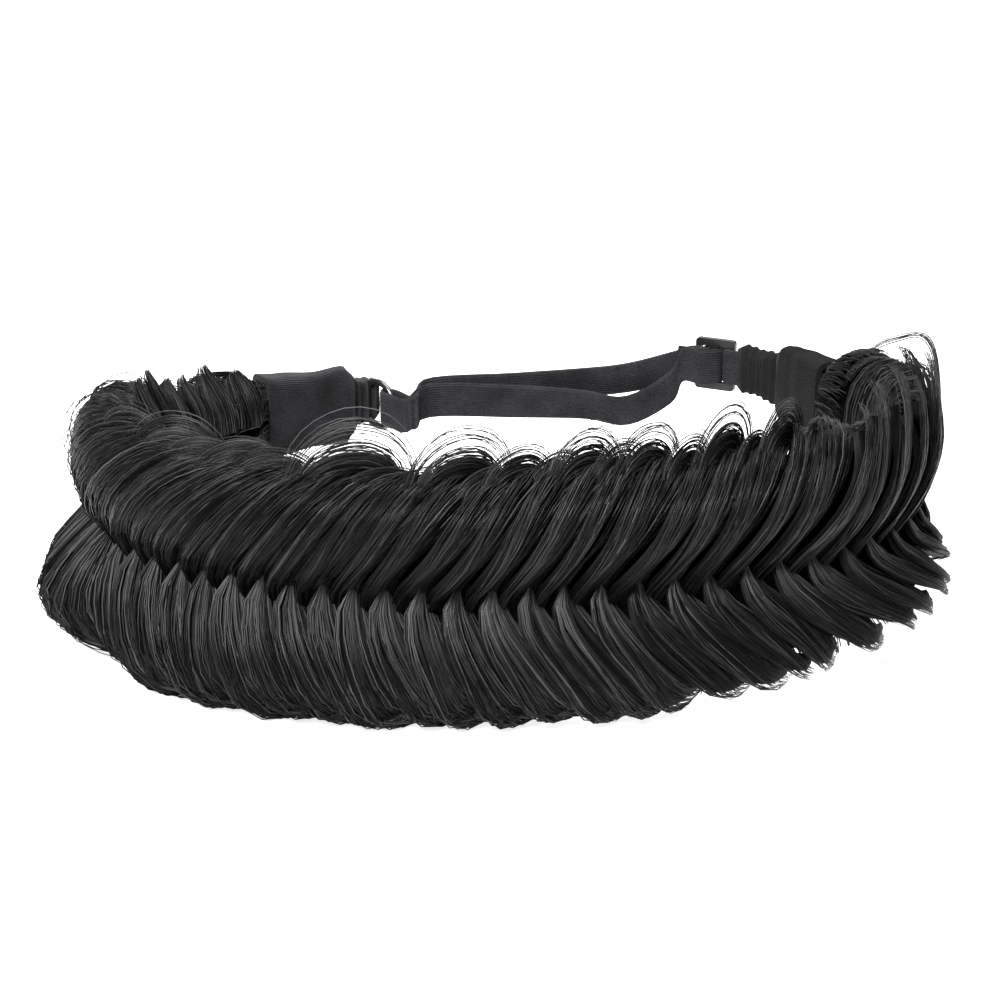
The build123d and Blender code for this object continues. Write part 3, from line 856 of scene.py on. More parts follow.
# Closed bundles under the strands, one for each lock
def makeBundles(side, draws, material):
    columns, rows = 9, 19
    lock = np.arange(lockCount)[:, None, None]
    length = np.linspace(0, 1, rows)[None, :, None]
    face = np.linspace(0, 1, columns)
    back = face[-2:0:-1]
    across = np.concatenate((face, back))[None, None, :]
    depth = np.concatenate((np.zeros(columns), np.sin(back * math.pi) ** 0.5 * braid["bundleDepth"]))
    sunk = braid["strandCover"] + braid[side + "Sink"] * ramp(length, *braid["bundleSinks"])
    points, outward = lockPoints(side, lock, across, length * braid["bundleEnd"], draws,
                                 sunk + depth[None, None, :], braid["bundleLoose"], braid[side + "Trim"])
    wide, long = 11.0, 62.0  # about a lock's size, for the comb lines
    return closedPiece(side + "Bundles", points, lock * 20.0 + across * wide, length * long, material, 60)


# The dark middle of the braid, which closes the gaps between the locks, in the darker copy of the bundle
# colours: painted shade
heart = {
    "depth": 4.6,            # under the rows' surface
    "insideDepth": 1.7,      # under the combed inside
    "inside": (0.62, 0.78),  # where on the outline the inside starts
    "combWidth": 2.5,
}


def makeHeart(material):
    marks = np.linspace(0.0, braidLength, 160)[:, None]
    reach = np.linspace(0.0, 1.0, 26)[None, :]
    depth = heart["depth"] + (heart["insideDepth"] - heart["depth"]) * ramp(reach, *heart["inside"])
    upper = rowPoint("upper", marks, reach, -depth)[0]
    lower = rowPoint("lower", marks, reach, -depth)[0]
    rings = np.concatenate((upper[:, 1:-1], lower[:, 1:-1][:, ::-1]), 1)
    combAcross = np.arange(rings.shape[1])[None, :] * heart["combWidth"]
    return closedPiece("braidHeart", rings, combAcross, marks, material)


# Loops of fine hair that stand over the upper row like the lashes of an eye, one nest for each lock
archSizes = {
    "columns": ("along", "height", "span"),
    "rows": [(0.00, 1, 6), (0.14, 2, 8), (0.22, 4, 14), (0.27, 7, 20), (0.36, 8, 22), (0.39, 10, 26),
             (0.42, 16, 30), (0.45, 17, 30), (0.48, 15, 26), (0.53, 14, 22), (0.60, 13, 19),
             (0.66, 12, 18), (0.71, 9, 16), (0.76, 3, 10), (0.84, 1, 7), (1.0, 1, 6)],
}

arches = {
    "seed": 41,
    "tall": (0.80, 1.0),     # how tall the nests of the locks below are, as shares of the height above
    "short": (0.35, 0.60),
    "low": (0.12, 0.25),
    "tallLocks": (11, 13, 15, 17, 21, 25, 29, 31, 33, 35),
    "shortLocks": (10, 12, 14, 16, 18, 27, 28, 30, 32, 34, 36),
    "sunk": 3.5,             # how far the feet of the loops lie below the row's edge
    "front": 0.50,           # where the left foot stands, as a share of the wing
    "back": 0.55,            # and the right foot, as a share of the inner side
    "slant": 0.1,            # to the right, for each millimetre of height
    "ahead": 0.2,            # how far right of its lock a nest stands, as a share of its span
    "shift": 1.2,            # and how unevenly, in millimetres
    "leastSpan": 0.5,        # the span of the lowest nests and of the smallest loops, as shares
    "fullSize": 0.6,         # loops from this size on rise from their feet
    "crowding": 1.2,         # over 1 puts more of the strands on the small loops
    "fill": 0.15,            # how little the smallest loops rise out of the hair below them
    "bow": 0.9,              # under 1 makes a loop squarer than a sine
    "thickness": 1.2,        # of the bundles inside the dense loops
    "ends": (0.08, 0.92),    # how much of a bow these bundles' thickness follows
    "comb": (0.8, 2.0),      # how far apart their points lie for the comb lines
    "firstLock": 6,          # the locks before it are under the tufts
    "lastLock": 36,          # the locks further on end in free points
}

# Loops from the smallest to the largest of a nest: the dense foot, the open arches and the stray hairs
nestLayers = {
    "crest": (0.05, 0.50),
    "dense": (0.06, 0.64),
    "open": (0.50, 1.05),
    "stray": (0.85, 1.15),
}


def archPoints(layer, columns, rows):
    draw = np.random.default_rng(arches["seed"])
    kinds = np.array([arches["low"]] * lockCount)
    kinds[list(arches["shortLocks"])] = arches["short"]
    kinds[list(arches["tallLocks"])] = arches["tall"]
    lift = kinds[:, 0] + (kinds[:, 1] - kinds[:, 0]) * draw.uniform(0, 1, lockCount)
    shift = draw.uniform(-arches["shift"], arches["shift"], lockCount)
    lock = np.arange(lockCount)[:, None, None]
    turn = np.linspace(0, 1, rows)[None, :, None]
    smallest, largest = nestLayers[layer]
    size = smallest + (largest - smallest) * np.linspace(0, 1, columns)[None, None, :] ** arches["crowding"]
    root = grooveMarks[lock]
    style = tableAt(dressing["upper"], root / braidLength)
    middle = np.clip(root + style["lean"] + shift[lock], 0.0, braidLength)
    nest = tableAt(archSizes, middle / braidLength)
    tall = nest["height"] * lift[lock] * size
    least = arches["leastSpan"]
    half = nest["span"] / 2 * (least + (1 - least) * lift[lock]) * (least + (1 - least) * size)
    bow = np.sin(math.pi * turn)
    mark = middle + nest["span"] * arches["ahead"] - half * np.cos(math.pi * turn)
    mark = np.clip(mark + arches["slant"] * tall * bow, 0.0, braidLength)
    here = tableAt(stations, mark / braidLength)
    edge = braid["upperHeight"] * here["upper"] + here["lift"] * braid["endLift"]
    proud = arches["fill"] + (1 - arches["fill"]) * np.minimum(size / arches["fullSize"], 1.0)
    up = edge - arches["sunk"] + (tall + arches["sunk"] * proud) * bow ** arches["bow"]
    front = braid["wing"] * here["upperFlare"] * arches["front"]
    out = front + (-braid["inner"] * arches["back"] - front) * smooth(turn)
    return mark, out, up


def archSurface(layer):
    return sheetObject(layer + "Arches", place(*archPoints(layer, 6, 19)))


# Closed thin bundles inside the dense loops
def makeCrests(material):
    columns, rows = 6, 13
    mark, out, up = archPoints("crest", columns, rows)
    out = out - 0.5 * arches["thickness"]
    half = 0.5 * arches["thickness"] * np.sin(math.pi * np.linspace(*arches["ends"], rows))[None, :, None]
    front, back = place(mark, out + half, up), place(mark, out - half, up)
    rings = np.concatenate((front, back[:, :, ::-1]), 2)[arches["firstLock"]:arches["lastLock"] + 1]
    wide, long = arches["comb"]
    combAlong = np.arange(rows)[None, :, None] * long
    return closedPiece("crestBundles", rings, np.arange(2 * columns) * wide, combAlong, material, 60)


# Soft tufts at the back left: clumps that rise over the row's inner face and end in a point
tufts = {
    "seed": 47,
    "first": 10.5,
    "spacing": 9.8,
    "count": 6,
    "width": 11.0,
    "height": (3.0, 6.5),
    "tipLean": 2.5,
    "start": 0.93,           # where on the row's outline a clump starts and where it leaves the edge
    "leave": 0.62,
    "leaveBy": 0.75,         # the share of its length by which it leaves the edge
    "narrows": (0.45, 1.0),  # and those over which it narrows
    "narrowing": 0.8,        # how much of its width it loses
    "rises": (0.5, 1.0),
    "lift": 0.8,
    "bulge": 2.0,
    "tipBulge": 0.4,         # the share of it that stays where a clump is narrow
}


def tuftSurface():
    columns, rows = 9, 16
    draw = np.random.default_rng(tufts["seed"])
    number = np.arange(tufts["count"])[:, None, None]
    across = np.linspace(-1, 1, columns)[None, None, :]
    length = np.linspace(0, 1, rows)[None, :, None]
    narrow = 1 - tufts["narrowing"] * ramp(length, *tufts["narrows"])
    lean = draw.uniform(-1, 1, tufts["count"])[:, None, None] * tufts["tipLean"] * length ** 2
    mark = tufts["first"] + number * tufts["spacing"] + lean + 0.5 * tufts["width"] * across * narrow
    mark = np.clip(mark, 0.5, braidLength)
    reach = tufts["start"] + (tufts["leave"] - tufts["start"]) * np.minimum(length / tufts["leaveBy"], 1.0)
    full = tufts["tipBulge"] + (1 - tufts["tipBulge"]) * narrow
    rise = tufts["lift"] + tufts["bulge"] * np.cos(0.5 * math.pi * across) * full
    points, outward = rowPoint("upper", mark, reach, rise)
    low, high = tufts["height"]
    tall = draw.uniform(low, high, tufts["count"])[:, None, None]
    points[..., 2] += tall * ramp(length, *tufts["rises"]) * np.ones_like(mark)
    return sheetObject("tuftSheets", points, outward)


# The long thin loop of a few hairs at the right end
straying = {
    "from": 0.825,           # along the braid, on the outside
    "to": 0.955,             # and on the edge
    "height": 9.5,           # over the row's edge
    "out": 6.8,              # and in front of it
    "footUp": 0.5,           # how high on the row it starts, as a share of the row's height
    "footTurn": 1.4,         # over 1 brings it up to the edge before its end
    "bow": 0.8,              # under 1 makes it squarer than a sine
    "smallest": 0.86,        # the size of its inmost hair, as a share
}


def strayingSurface():
    columns, rows = 4, 21
    size = np.linspace(straying["smallest"], 1, columns)[None, None, :]
    turn = np.linspace(0, 1, rows)[None, :, None]
    middle = (straying["from"] + straying["to"]) / 2
    share = middle + (straying["to"] - straying["from"]) * size * (turn - 0.5)
    mark = share * braidLength
    here = tableAt(stations, share)
    edge = braid["upperHeight"] * here["upper"]
    foot = straying["footUp"] + (1 - straying["footUp"]) * smooth(turn * straying["footTurn"])
    bow = np.sin(math.pi * turn) ** straying["bow"]
    up = here["lift"] * braid["endLift"] + edge * foot + straying["height"] * size * bow
    out = braid["wing"] * here["upperFlare"] * (1 - smooth(turn)) + straying["out"] * size * bow
    return sheetObject("strayingSheet", place(mark, out, up))


# Small loops along the lower edge, where the locks' ends hook round to the right
hooks = {
    "seed": 43,
    "locks": 31,             # the locks further on end in free points
    "sizes": {
        "columns": ("along", "out", "span"),
        "rows": [(0.00, 1, 6), (0.10, 3.5, 12), (0.22, 3.5, 14), (0.40, 2.6, 14), (0.56, 2.4, 12),
                 (0.64, 1.2, 8), (0.70, 0.3, 5), (1.00, 0.1, 4)],
    },
    "smallest": 0.3,
    "slant": 0.5,            # to the right, for each millimetre that a loop stands out
    "foot": 0.80,            # where the loops start, as a share of the wing
    "clear": 1.0,            # how far the smallest stand off the hair
    "above": 1.4,            # above the row's lowest line
    "dip": 0.9,
    "offTable": 0.3,
}


def hookSurface():
    columns, rows = 5, 13
    draw = np.random.default_rng(hooks["seed"])
    lift = draw.uniform(hooks["smallest"], 1.0, lockCount)
    lock = np.arange(lockCount)[:, None, None]
    turn = np.linspace(0, 1, rows)[None, :, None]
    size = np.linspace(hooks["smallest"], 1, columns)[None, None, :]
    root = grooveMarks[lock] + 0.5 * lockPitch[lock]
    style = tableAt(dressing["lower"], root / braidLength)
    middle = np.clip(root + style["lean"], 0.0, braidLength)
    nest = tableAt(hooks["sizes"], middle / braidLength)
    reach = nest["out"] * lift[lock] * size
    mark = middle - nest["span"] / 2 * size * np.cos(math.pi * turn) + hooks["slant"] * reach
    mark = np.clip(mark, 0.0, braidLength)
    here = tableAt(stations, mark / braidLength)
    bow = np.sin(math.pi * turn)
    out = braid["wing"] * here["lowerFlare"] * hooks["foot"] + (reach + hooks["clear"]) * bow
    low = here["lift"] * braid["endLift"] - braid["lowerHeight"] * here["lower"] + hooks["above"]
    up = np.maximum(low - hooks["dip"] * bow, hooks["offTable"] - frameShift[2])
    points = place(mark, out, up)
    outward = np.concatenate((headingAt(mark)[1], np.zeros(mark.shape + (1,))), -1)
    return sheetObject("hookSheets", points, outward)


# The hair at the braid's two ends runs along it and is gathered into the tabs
gather = {
    "length": {"Left": 24.0, "Right": 30.0},
    "under": 5.0,            # how far it goes into the tab
    "off": 2.0,              # how far it stands off the row
    "offBy": 8.0,
}


def gatherSurface(side, end):
    rightEnd = end == "Right"
    start = braid["tongueLength" if rightEnd else "leftTongue"] - gather["under"]
    run = np.linspace(start, start + gather["length"][end], 14)[None, :, None]
    reach = np.linspace(0.02, 0.98, 20)[None, None, :]
    off = gather["off"] * smooth((run - start) / gather["offBy"])
    mark = braidLength - run if rightEnd else run
    if rightEnd:
        reach = reach[..., ::-1]
    points, outward = rowPoint(side, mark, reach, off, leaning=False)
    return sheetObject(side + "Gather", points, outward)


# Where a run of locks starts along the braid, the strands on each of its locks, how much shorter its ends
# may be, and the painted light and shade of its strands in the upper row and in the lower: the hair is one
# black, and each run is painted lighter or darker
combedRuns = [
    ("BackLeft", 0.0, 46, 0.00, 0.95, 1.0),
    ("Left", 0.2, 86, 0.00, 0.6, 0.85),
    ("Front", 0.45, 88, 0.00, 0.68, 0.85),
    ("Right", 0.62, 84, 0.08, 0.85, 0.48),
    ("BackRight", 0.87, 60, 0.10, 1.5, 0.6),
]

combed = {
    "Points": 10, "Thickness": 0.32, "Tip": 0.3, "Start": 0.0, "Start spread": 0.0, "End": 0.92,
    "End spread": 0.08, "Wander": 0.06, "Slide spread": 0.09, "Lift": 0.7, "Clump wander": 0.09,
}

# The lining runs down the row's inside
lining = {
    "Lock count": lockCount - 6, "Strands a lock": 18, "Points": 6, "Thickness": 0.38, "Start": 0.54,
    "Start spread": 0.05, "End": 0.97, "End spread": 0.02, "Wander": 0.3, "Lift": 1.2,
}

# The hair that is gathered into the tabs
gathered = {
    "Lock count": 1, "All locks": 1, "Points": 7, "Thickness": 0.32, "Tip": 0.3, "End": 0.72,
    "End spread": 0.28, "Wander": 0.03, "Lift": 0.8,
}
gatheredStrands = {"Left": 220, "Right": 340}

# Loose hair over a whole row
looseHair = {
    "upper": {
        "Lining": lining,
        "SideLoops": {"First lock": 5, "Lock count": 11, "Strands a lock": 6, "Points": 13,
                      "Thickness": 0.24, "Tip": 0.6, "Start": 0.12, "Start spread": 0.06, "End": 0.62,
                      "End spread": 0.08, "Wander": 0.05, "Lift": 0.5, "Arch": 0.6, "Arch spread": 4.5},
        "SweptHair": {"First lock": 6, "Lock count": 17, "Strands a lock": 26, "Points": 12,
                      "Thickness": 0.24, "Tip": 0.5, "Start": 0.14, "Start spread": 0.10, "End": 0.62,
                      "End spread": 0.08, "Wander": 0.2, "Lift": 1.0, "Arch": 0.2, "Arch spread": 1.0,
                      # a Tone under 1 paints these strands darker: painted shade
                      "Tone": 0.6},
    },
    "lower": {
        "Lining": lining,
        "SideLoops": {"First lock": 3, "Lock count": 12, "Strands a lock": 6, "Points": 13,
                      "Thickness": 0.24, "Tip": 0.6, "Start": 0.15, "Start spread": 0.06, "End": 0.66,
                      "End spread": 0.08, "Wander": 0.05, "Lift": 0.5, "Arch": 0.5, "Arch spread": 3.5},
    },
}

# Painted light and shade along the locks: the lower row's points are painted lighter near the groove, a
# painted highlight, and darker at their ends, painted shade; the upper row's roots are painted darker, the
# groove's painted shadow
paintedRowShading = {
    "upper": {"Root tone": 0.5, "End tone": 1.0},
    "lower": {"Root tone": 4.2, "End tone": 0.6},
}


def dressRow(side, seed, fibre, bundle):
    draws = lockDraws(seed)
    sheets = lockSurface(side, draws)
    row = smoothSurface(side)
    node = side + "_locks"
    finishPiece(makeBundles(side, draws, bundle), "hair", node)
    lasts = [run[1] for run in combedRuns[1:]] + [1.0]
    for (name, first, strands, ragged, *paintedRunShading), last in zip(combedRuns, lasts):
        first, last = round(first * lockCount), round(last * lockCount)
        sizes = dict(combed, **paintedRowShading[side], Tone=paintedRunShading[0 if side == "upper" else 1])
        sizes.update({"First lock": first, "Lock count": last - first, "Strands a lock": strands,
                      "All locks": lockCount, "Seed": seed, "End": combed["End"] - ragged,
                      "End spread": combed["End spread"] + ragged})
        finishPiece(growStrands(side + "Strands" + name, sheets, fibre, sizes), "hair", node)
    for name, sizes in looseHair[side].items():
        sizes = dict({"All locks": lockCount, "Lock count": lockCount, "Seed": seed + 50}, **sizes)
        finishPiece(growStrands(side + name, row, fibre, sizes), "hair", node)
    for end, strands in gatheredStrands.items():
        sheet = gatherSurface(side, end)
        sizes = dict(gathered, **{"Strands a lock": strands, "Seed": seed + 9})
        finishPiece(growStrands(side + "Gather" + end, sheet, fibre, sizes), "hair", node)
        bpy.data.objects.remove(sheet)
    for spare in (sheets, row):
        bpy.data.objects.remove(spare)


# Strands over the sheets of loops and tufts: the piece's name, its sheet and the sizes that differ
def addLoops(fibre):
    first = arches["firstLock"]
    whole = {"All locks": lockCount, "First lock": first, "Lock count": arches["lastLock"] + 1 - first,
             "Start": 0.02, "Start spread": 0.02, "End": 0.93, "End spread": 0.07, "Seed": 71}
    loops = [
        ("upperCrests", archSurface("dense"), "upper_locks", dict(whole, **{
            "Strands a lock": 36, "Points": 9, "Thickness": 0.36, "Tip": 0.6, "Wander": 0.08, "Lift": 0.8})),
        ("upperArches", archSurface("open"), "upper_locks", dict(whole, **{
            "Strands a lock": 15, "Points": 13, "Thickness": 0.26, "Thickness spread": 0.4, "Tip": 0.7,
            "Wander": 0.11, "Lift": 0.4})),
        ("upperStrays", archSurface("stray"), "upper_locks", dict(whole, **{
            "Strands a lock": 2, "Points": 15, "Thickness": 0.18, "Tip": 0.7, "Wander": 0.25, "Lift": 0.6})),
        ("backTufts", tuftSurface(), "upper_locks", {
            "All locks": tufts["count"], "Lock count": tufts["count"], "Strands a lock": 110, "Points": 9,
            "Thickness": 0.34, "Tip": 0.25, "End": 0.86, "End spread": 0.14, "Wander": 0.12, "Lift": 1.6,
            "Seed": 73}),
        ("strayingLoop", strayingSurface(), "upper_locks", {
            "All locks": 1, "Lock count": 1, "Strands a lock": 11, "Points": 19, "Thickness": 0.24,
            "Tip": 0.8, "Start spread": 0.02, "End": 0.97, "End spread": 0.03, "Wander": 0.03, "Lift": 0.5,
            "Seed": 74}),
        ("hookedHair", hookSurface(), "lower_locks", {
            "All locks": lockCount, "Lock count": hooks["locks"], "Strands a lock": 10, "Points": 10,
            "Thickness": 0.22, "Tip": 0.6, "End": 0.95, "End spread": 0.05, "Wander": 0.02, "Lift": 0.3,
            "Seed": 72}),
    ]
    for name, sheet, node, sizes in loops:
        finishPiece(growStrands(name, sheet, fibre, sizes), "hair", node)
        bpy.data.objects.remove(sheet)


# The elastic tabs: sleeves of ribbed elastic, gathered where they narrow
tab = {
    "halfHeight": 12.0,
    "wall": 1.5,
    "seam": 0.3,             # between the braid's end and the sleeve
    "squareness": 5.0,       # of the flat section: 2 is an ellipse
    "ribs": 104,             # 0.6 mm apart
    "ribWidth": 0.46,
    "rings": 90,
    "around": 52,
    "pleatDepth": 0.45,      # of the gathers across the narrow part
    "pleatSpacing": 2.1,
    "pleatFrom": 0.86,       # the share of its height at which they start, and over which they deepen
    "pleatOver": 0.3,
    "endRound": 1.6,
    "endThickness": 0.25,    # what is left of the section at its closed end, as shares
    "endHeight": 0.8,
    "leftSpare": 2.6,        # the fabric goes on this far past the ring's wire
    "rightSpare": 4.0,       # and this far over the strap
    "rightStart": 0.0,       # where along the tab its mouth shows
    "leftStart": 0.11,       # further along, where the braid's hair covers it
    "hemRing": 6,            # the hem folds in as far as this ring
    "comb": (1.2, 0.4),      # how far apart the points lie for the comb lines
}

# The tabs from the braid, 0, to their far end, 1: height and thickness are shares of the tab's, and out is
# the share of the way out to the ring
leftTabRows = {
    "columns": ("along", "height", "thickness", "out"),
    "rows": [(0.00, 1.00, 1.00, 0.00), (0.27, 0.90, 0.95, 0.00), (0.52, 0.84, 0.60, 0.05),
             (0.74, 0.90, 0.50, 0.30), (0.80, 0.68, 0.62, 0.50), (0.84, 0.52, 0.44, 0.68),
             (0.89, 0.50, 0.60, 0.85), (0.95, 0.46, 0.48, 1.00), (1.00, 0.44, 0.48, 1.00)],
}

rightTabRows = {
    "columns": ("along", "height", "thickness", "out"),
    "rows": [(0.00, 1.00, 1.00, 0.00), (0.26, 0.96, 0.95, 0.00), (0.44, 0.90, 0.70, 0.00),
             (0.54, 0.84, 0.58, 0.00), (0.61, 0.56, 0.42, 0.00), (0.70, 0.53, 0.54, 0.00),
             (0.80, 0.50, 0.42, 0.00), (0.92, 0.52, 0.50, 0.00), (1.00, 0.50, 0.42, 0.00)],
}

tabHalfThickness = braid["tongueHalfThickness"] + tab["seam"] + tab["wall"]


# Evenly spaced points round a flat rounded section, and their outward directions
def flatSection(halfThickness, halfHeight, count, squareness):
    angles = np.linspace(0, 2 * math.pi, 721) - math.pi / 2
    across = halfThickness * np.sign(np.cos(angles)) * np.abs(np.cos(angles)) ** (2 / squareness)
    over = halfHeight * np.sign(np.sin(angles)) * np.abs(np.sin(angles)) ** (2 / squareness)
    lengths = np.concatenate(([0.0], np.cumsum(np.hypot(np.diff(across), np.diff(over)))))
    spots = np.linspace(0, lengths[-1], count + 1)
    across, over = np.interp(spots, lengths, across), np.interp(spots, lengths, over)
    ways = np.stack((np.gradient(over), -np.gradient(across)), -1)
    ways[0] = ways[-1] = (0.0, -1.0)
    return across, over, ways / np.maximum(np.linalg.norm(ways, axis=-1, keepdims=True), 1e-9)


def tabSheet(rows, mouth, direction, length, spare, endOut, endLift):
    startLift = float(tableAt(stations, np.array(mouth / braidLength))["lift"]) * braid["endLift"]
    points, ways = [], []
    for along in np.linspace(tab["leftStart" if direction < 0 else "rightStart"], 1.0, tab["rings"]):
        values = tableAt(rows, np.array(along))
        mark = mouth + direction * along * (length + spare)
        ease = smooth(np.array(along))
        out = braid["tongueOffset"] * (1 - ease) + endOut * values["out"]
        up = startLift + (endLift - startLift) * ease
        narrow = smooth((tab["pleatFrom"] - values["height"]) / tab["pleatOver"])
        pleat = tab["pleatDepth"] * narrow * math.sin(2 * math.pi * along * length / tab["pleatSpacing"])
        closing = smooth(np.array((1.0 - along) * length / tab["endRound"])) ** 0.5
        thick = tabHalfThickness * float(values["thickness"]) + pleat
        tall = tab["halfHeight"] * float(values["height"]) + 0.5 * pleat
        thick = thick * (tab["endThickness"] + (1 - tab["endThickness"]) * closing)
        tall = tall * (tab["endHeight"] + (1 - tab["endHeight"]) * closing)
        across, over, way = flatSection(thick, tall, tab["around"], tab["squareness"])
        points.append(place(mark, out + across, up + over))
        outward = headingAt(np.array(mark))[1] * way[:, :1]
        ways.append(np.concatenate((outward, way[:, 1:]), -1))
    return np.array(points), np.array(ways)


# A closed skin under the ribs, with a hem folded into the mouth
def tabSkin(name, points, ways, material):
    hem = tab["hemRing"]
    fold = [points[k:k + 1] - ways[k:k + 1] * tab["wall"] for k in (hem, 0)]
    rings = np.concatenate((*fold, points))[:, :-1]
    wide, long = tab["comb"]
    combAcross, combAlong = np.arange(rings.shape[1])[None, :] * wide, np.arange(len(rings))[:, None] * long
    return closedPiece(name + "Skin", rings, combAcross, combAlong, material, 50)


# Ribs are strands that lie evenly on a sheet and have nothing random about them
ribs = {
    "Lock count": 1, "All locks": 1, "Sides": 3, "Tip": 1.0, "Start spread": 0.0, "End": 1.0,
    "End spread": 0.0, "Margin": 0.0, "Jitter": 0.0, "Wander": 0.0, "Lift": 0.0, "Thickness spread": 0.0,
}


def makeTab(side, material):
    left = side == "left"
    mouth = fittings["tabCover"] if left else braidLength - fittings["tabCover"]
    length = fittings[side + "TabLength"]
    rows = leftTabRows if left else rightTabRows
    endOut = ringOffset if left else 0.0
    endLift = fittings["ringLift"] if left else fittings["sliderLift"]
    spare = tab[side + "Spare"]
    points, ways = tabSheet(rows, mouth, -1 if left else 1, length, spare, endOut, endLift)
    node = side + "_tab"
    finishPiece(tabSkin(side + "Tab", points, ways, material), "ribbed_elastic", node)
    sheet = sheetObject(side + "TabSheet", points[None], ways[None])
    sizes = dict(ribs, **{"Strands a lock": tab["ribs"], "Points": 44, "Thickness": tab["ribWidth"]})
    finishPiece(growStrands(side + "TabRibs", sheet, material, sizes), "ribbed_elastic", node)
    bpy.data.objects.remove(sheet)


# The strap: one band of knitted elastic from its sewn end round the slider to the ring and back
strap = {
    "width": 9.5,
    "thickness": 1.0,
    "tuck": 5.0,             # how far its end goes into the right tab
    "lean": 3.0,             # how far its edges lean out of the upright, at most
    "steepest": 0.9,
    "inset": 4.5,            # how far inside the loop's line the inner band runs
    "corner": 0.75,          # how tightly it turns into the slots
    "steps": 9,
    "around": 32,
    "ribs": 30,              # 0.7 mm apart
    "ribWidth": 0.42,
    "combWidth": 0.66,
}

# The two bands between the slider and the ring: the share of the way from the ring, the outer band's place
# between the two lifts and the inner band's, the inner band's inset and the lean, as shares
strapLayers = [
    (0.18, 0.17, 0.13, 0.90, 0.00),
    (0.42, 0.26, 0.08, 1.00, 0.30),
    (0.62, 0.41, 0.01, 1.00, 1.00),
    (0.75, 0.56, -0.10, 1.00, 1.00),
    (0.88, 0.86, 0.48, 0.90, 0.50),
]

# The sewn end round the slider's middle bar: hugs and layers to the right, hugs and layers outwards
sewnLoop = [
    (0.00, -7.50, -1.00, -1.00), (0.00, -4.00, -1.00, -1.00), (0.00, -2.80, -1.00, -0.88),
    (0.00, -1.45, -1.00, -0.25), (-1.00, 0.00, 0.00, 0.00), (-0.85, 0.00, 0.85, 0.00),
    (0.00, 0.00, 1.00, 0.00), (0.85, 0.00, 0.85, 0.00), (1.00, 0.00, 0.00, 0.00),
    (0.85, 0.00, -0.85, 0.00), (0.00, 0.30, -1.00, -0.60), (0.00, -2.40, -1.00, -2.15),
    (0.00, -6.00, -1.00, -2.30),
]

strapEndMark = braidLength - fittings["tabCover"] + fittings["rightTabLength"]
sliderMark = strapEndMark + fittings["sliderDistance"]
sliderAlong, sliderOutward = (flatVector(way) for way in headingAt(sliderMark))
sliderCentre = place(sliderMark, 0.0, fittings["sliderLift"])


# The middle line of the band from end to end, and how far its edges lean at each point
def strapRoute():
    fit, bar = fittings["fit"], fittings["sliderBar"]
    hug = bar / 2 + fit + strap["thickness"] / 2
    layer = strap["thickness"] + fit
    slot = 2 * strap["thickness"] + 4 * fit
    wrap = fittings["ringWire"] / 2 + fit + strap["thickness"] / 2
    hole = (fittings["ringDiameter"] / 2 - fittings["ringWire"]) ** 2 - (strap["width"] / 2) ** 2
    slack = ringRadius - math.sqrt(hole) + fit + strap["thickness"] / 2
    run = ringMark + loopLength - sliderMark
    rise = fittings["sliderLift"] - fittings["ringLift"]

    def atSlider(right, out):
        return sliderCentre - sliderAlong * right + sliderOutward * out, 0.0

    def atRing(beyond, across):
        return strapWirePoint + ringDirection * beyond + ringAcross * across, 0.0

    def between(row, out, share):
        mark = sliderMark + run * (1 - row[0])
        return place(mark, out, fittings["ringLift"] + rise * share), strap["lean"] * row[4]

    sewn = [atSlider(a * hug + b * layer, c * hug + d * layer) for a, b, c, d in sewnLoop]
    inner = [between(row, -strap["inset"] * row[3], row[2]) for row in reversed(strapLayers)]
    roundRing = [atRing(ringRadius, -wrap), atRing(0.0, -wrap), atRing(-slack * 0.6, -wrap),
                 atRing(-slack, 0.0),
                 atRing(-slack * 0.6, wrap), atRing(0.0, wrap), atRing(ringRadius, wrap)]
    outer = [between(row, -hug * row[0], row[1]) for row in strapLayers]
    slotEnd = bar / 2 + slot
    dip = strap["corner"] * (fit + strap["thickness"] / 2)
    over = hug + 0.5 * layer
    through = [atSlider(-slotEnd - 2.0 * layer, -hug), atSlider(dip - slotEnd, -bar / 2 - dip),
               atSlider(-hug - layer, 0.0), atSlider(-over, over), atSlider(0.0, hug + layer),
               atSlider(over, over), atSlider(hug + layer, 0.0),
               atSlider(slotEnd - dip, -bar / 2 - dip), atSlider(slotEnd + 2.0 * layer, -hug)]
    tucked = [(place(strapEndMark - tuck, 0.0, fittings["sliderLift"]), 0.0)
              for tuck in (0.0, strap["tuck"])]
    route = sewn + inner + roundRing + outer + through + tucked
    return np.array([point for point, lean in route]), np.array([lean for point, lean in route])


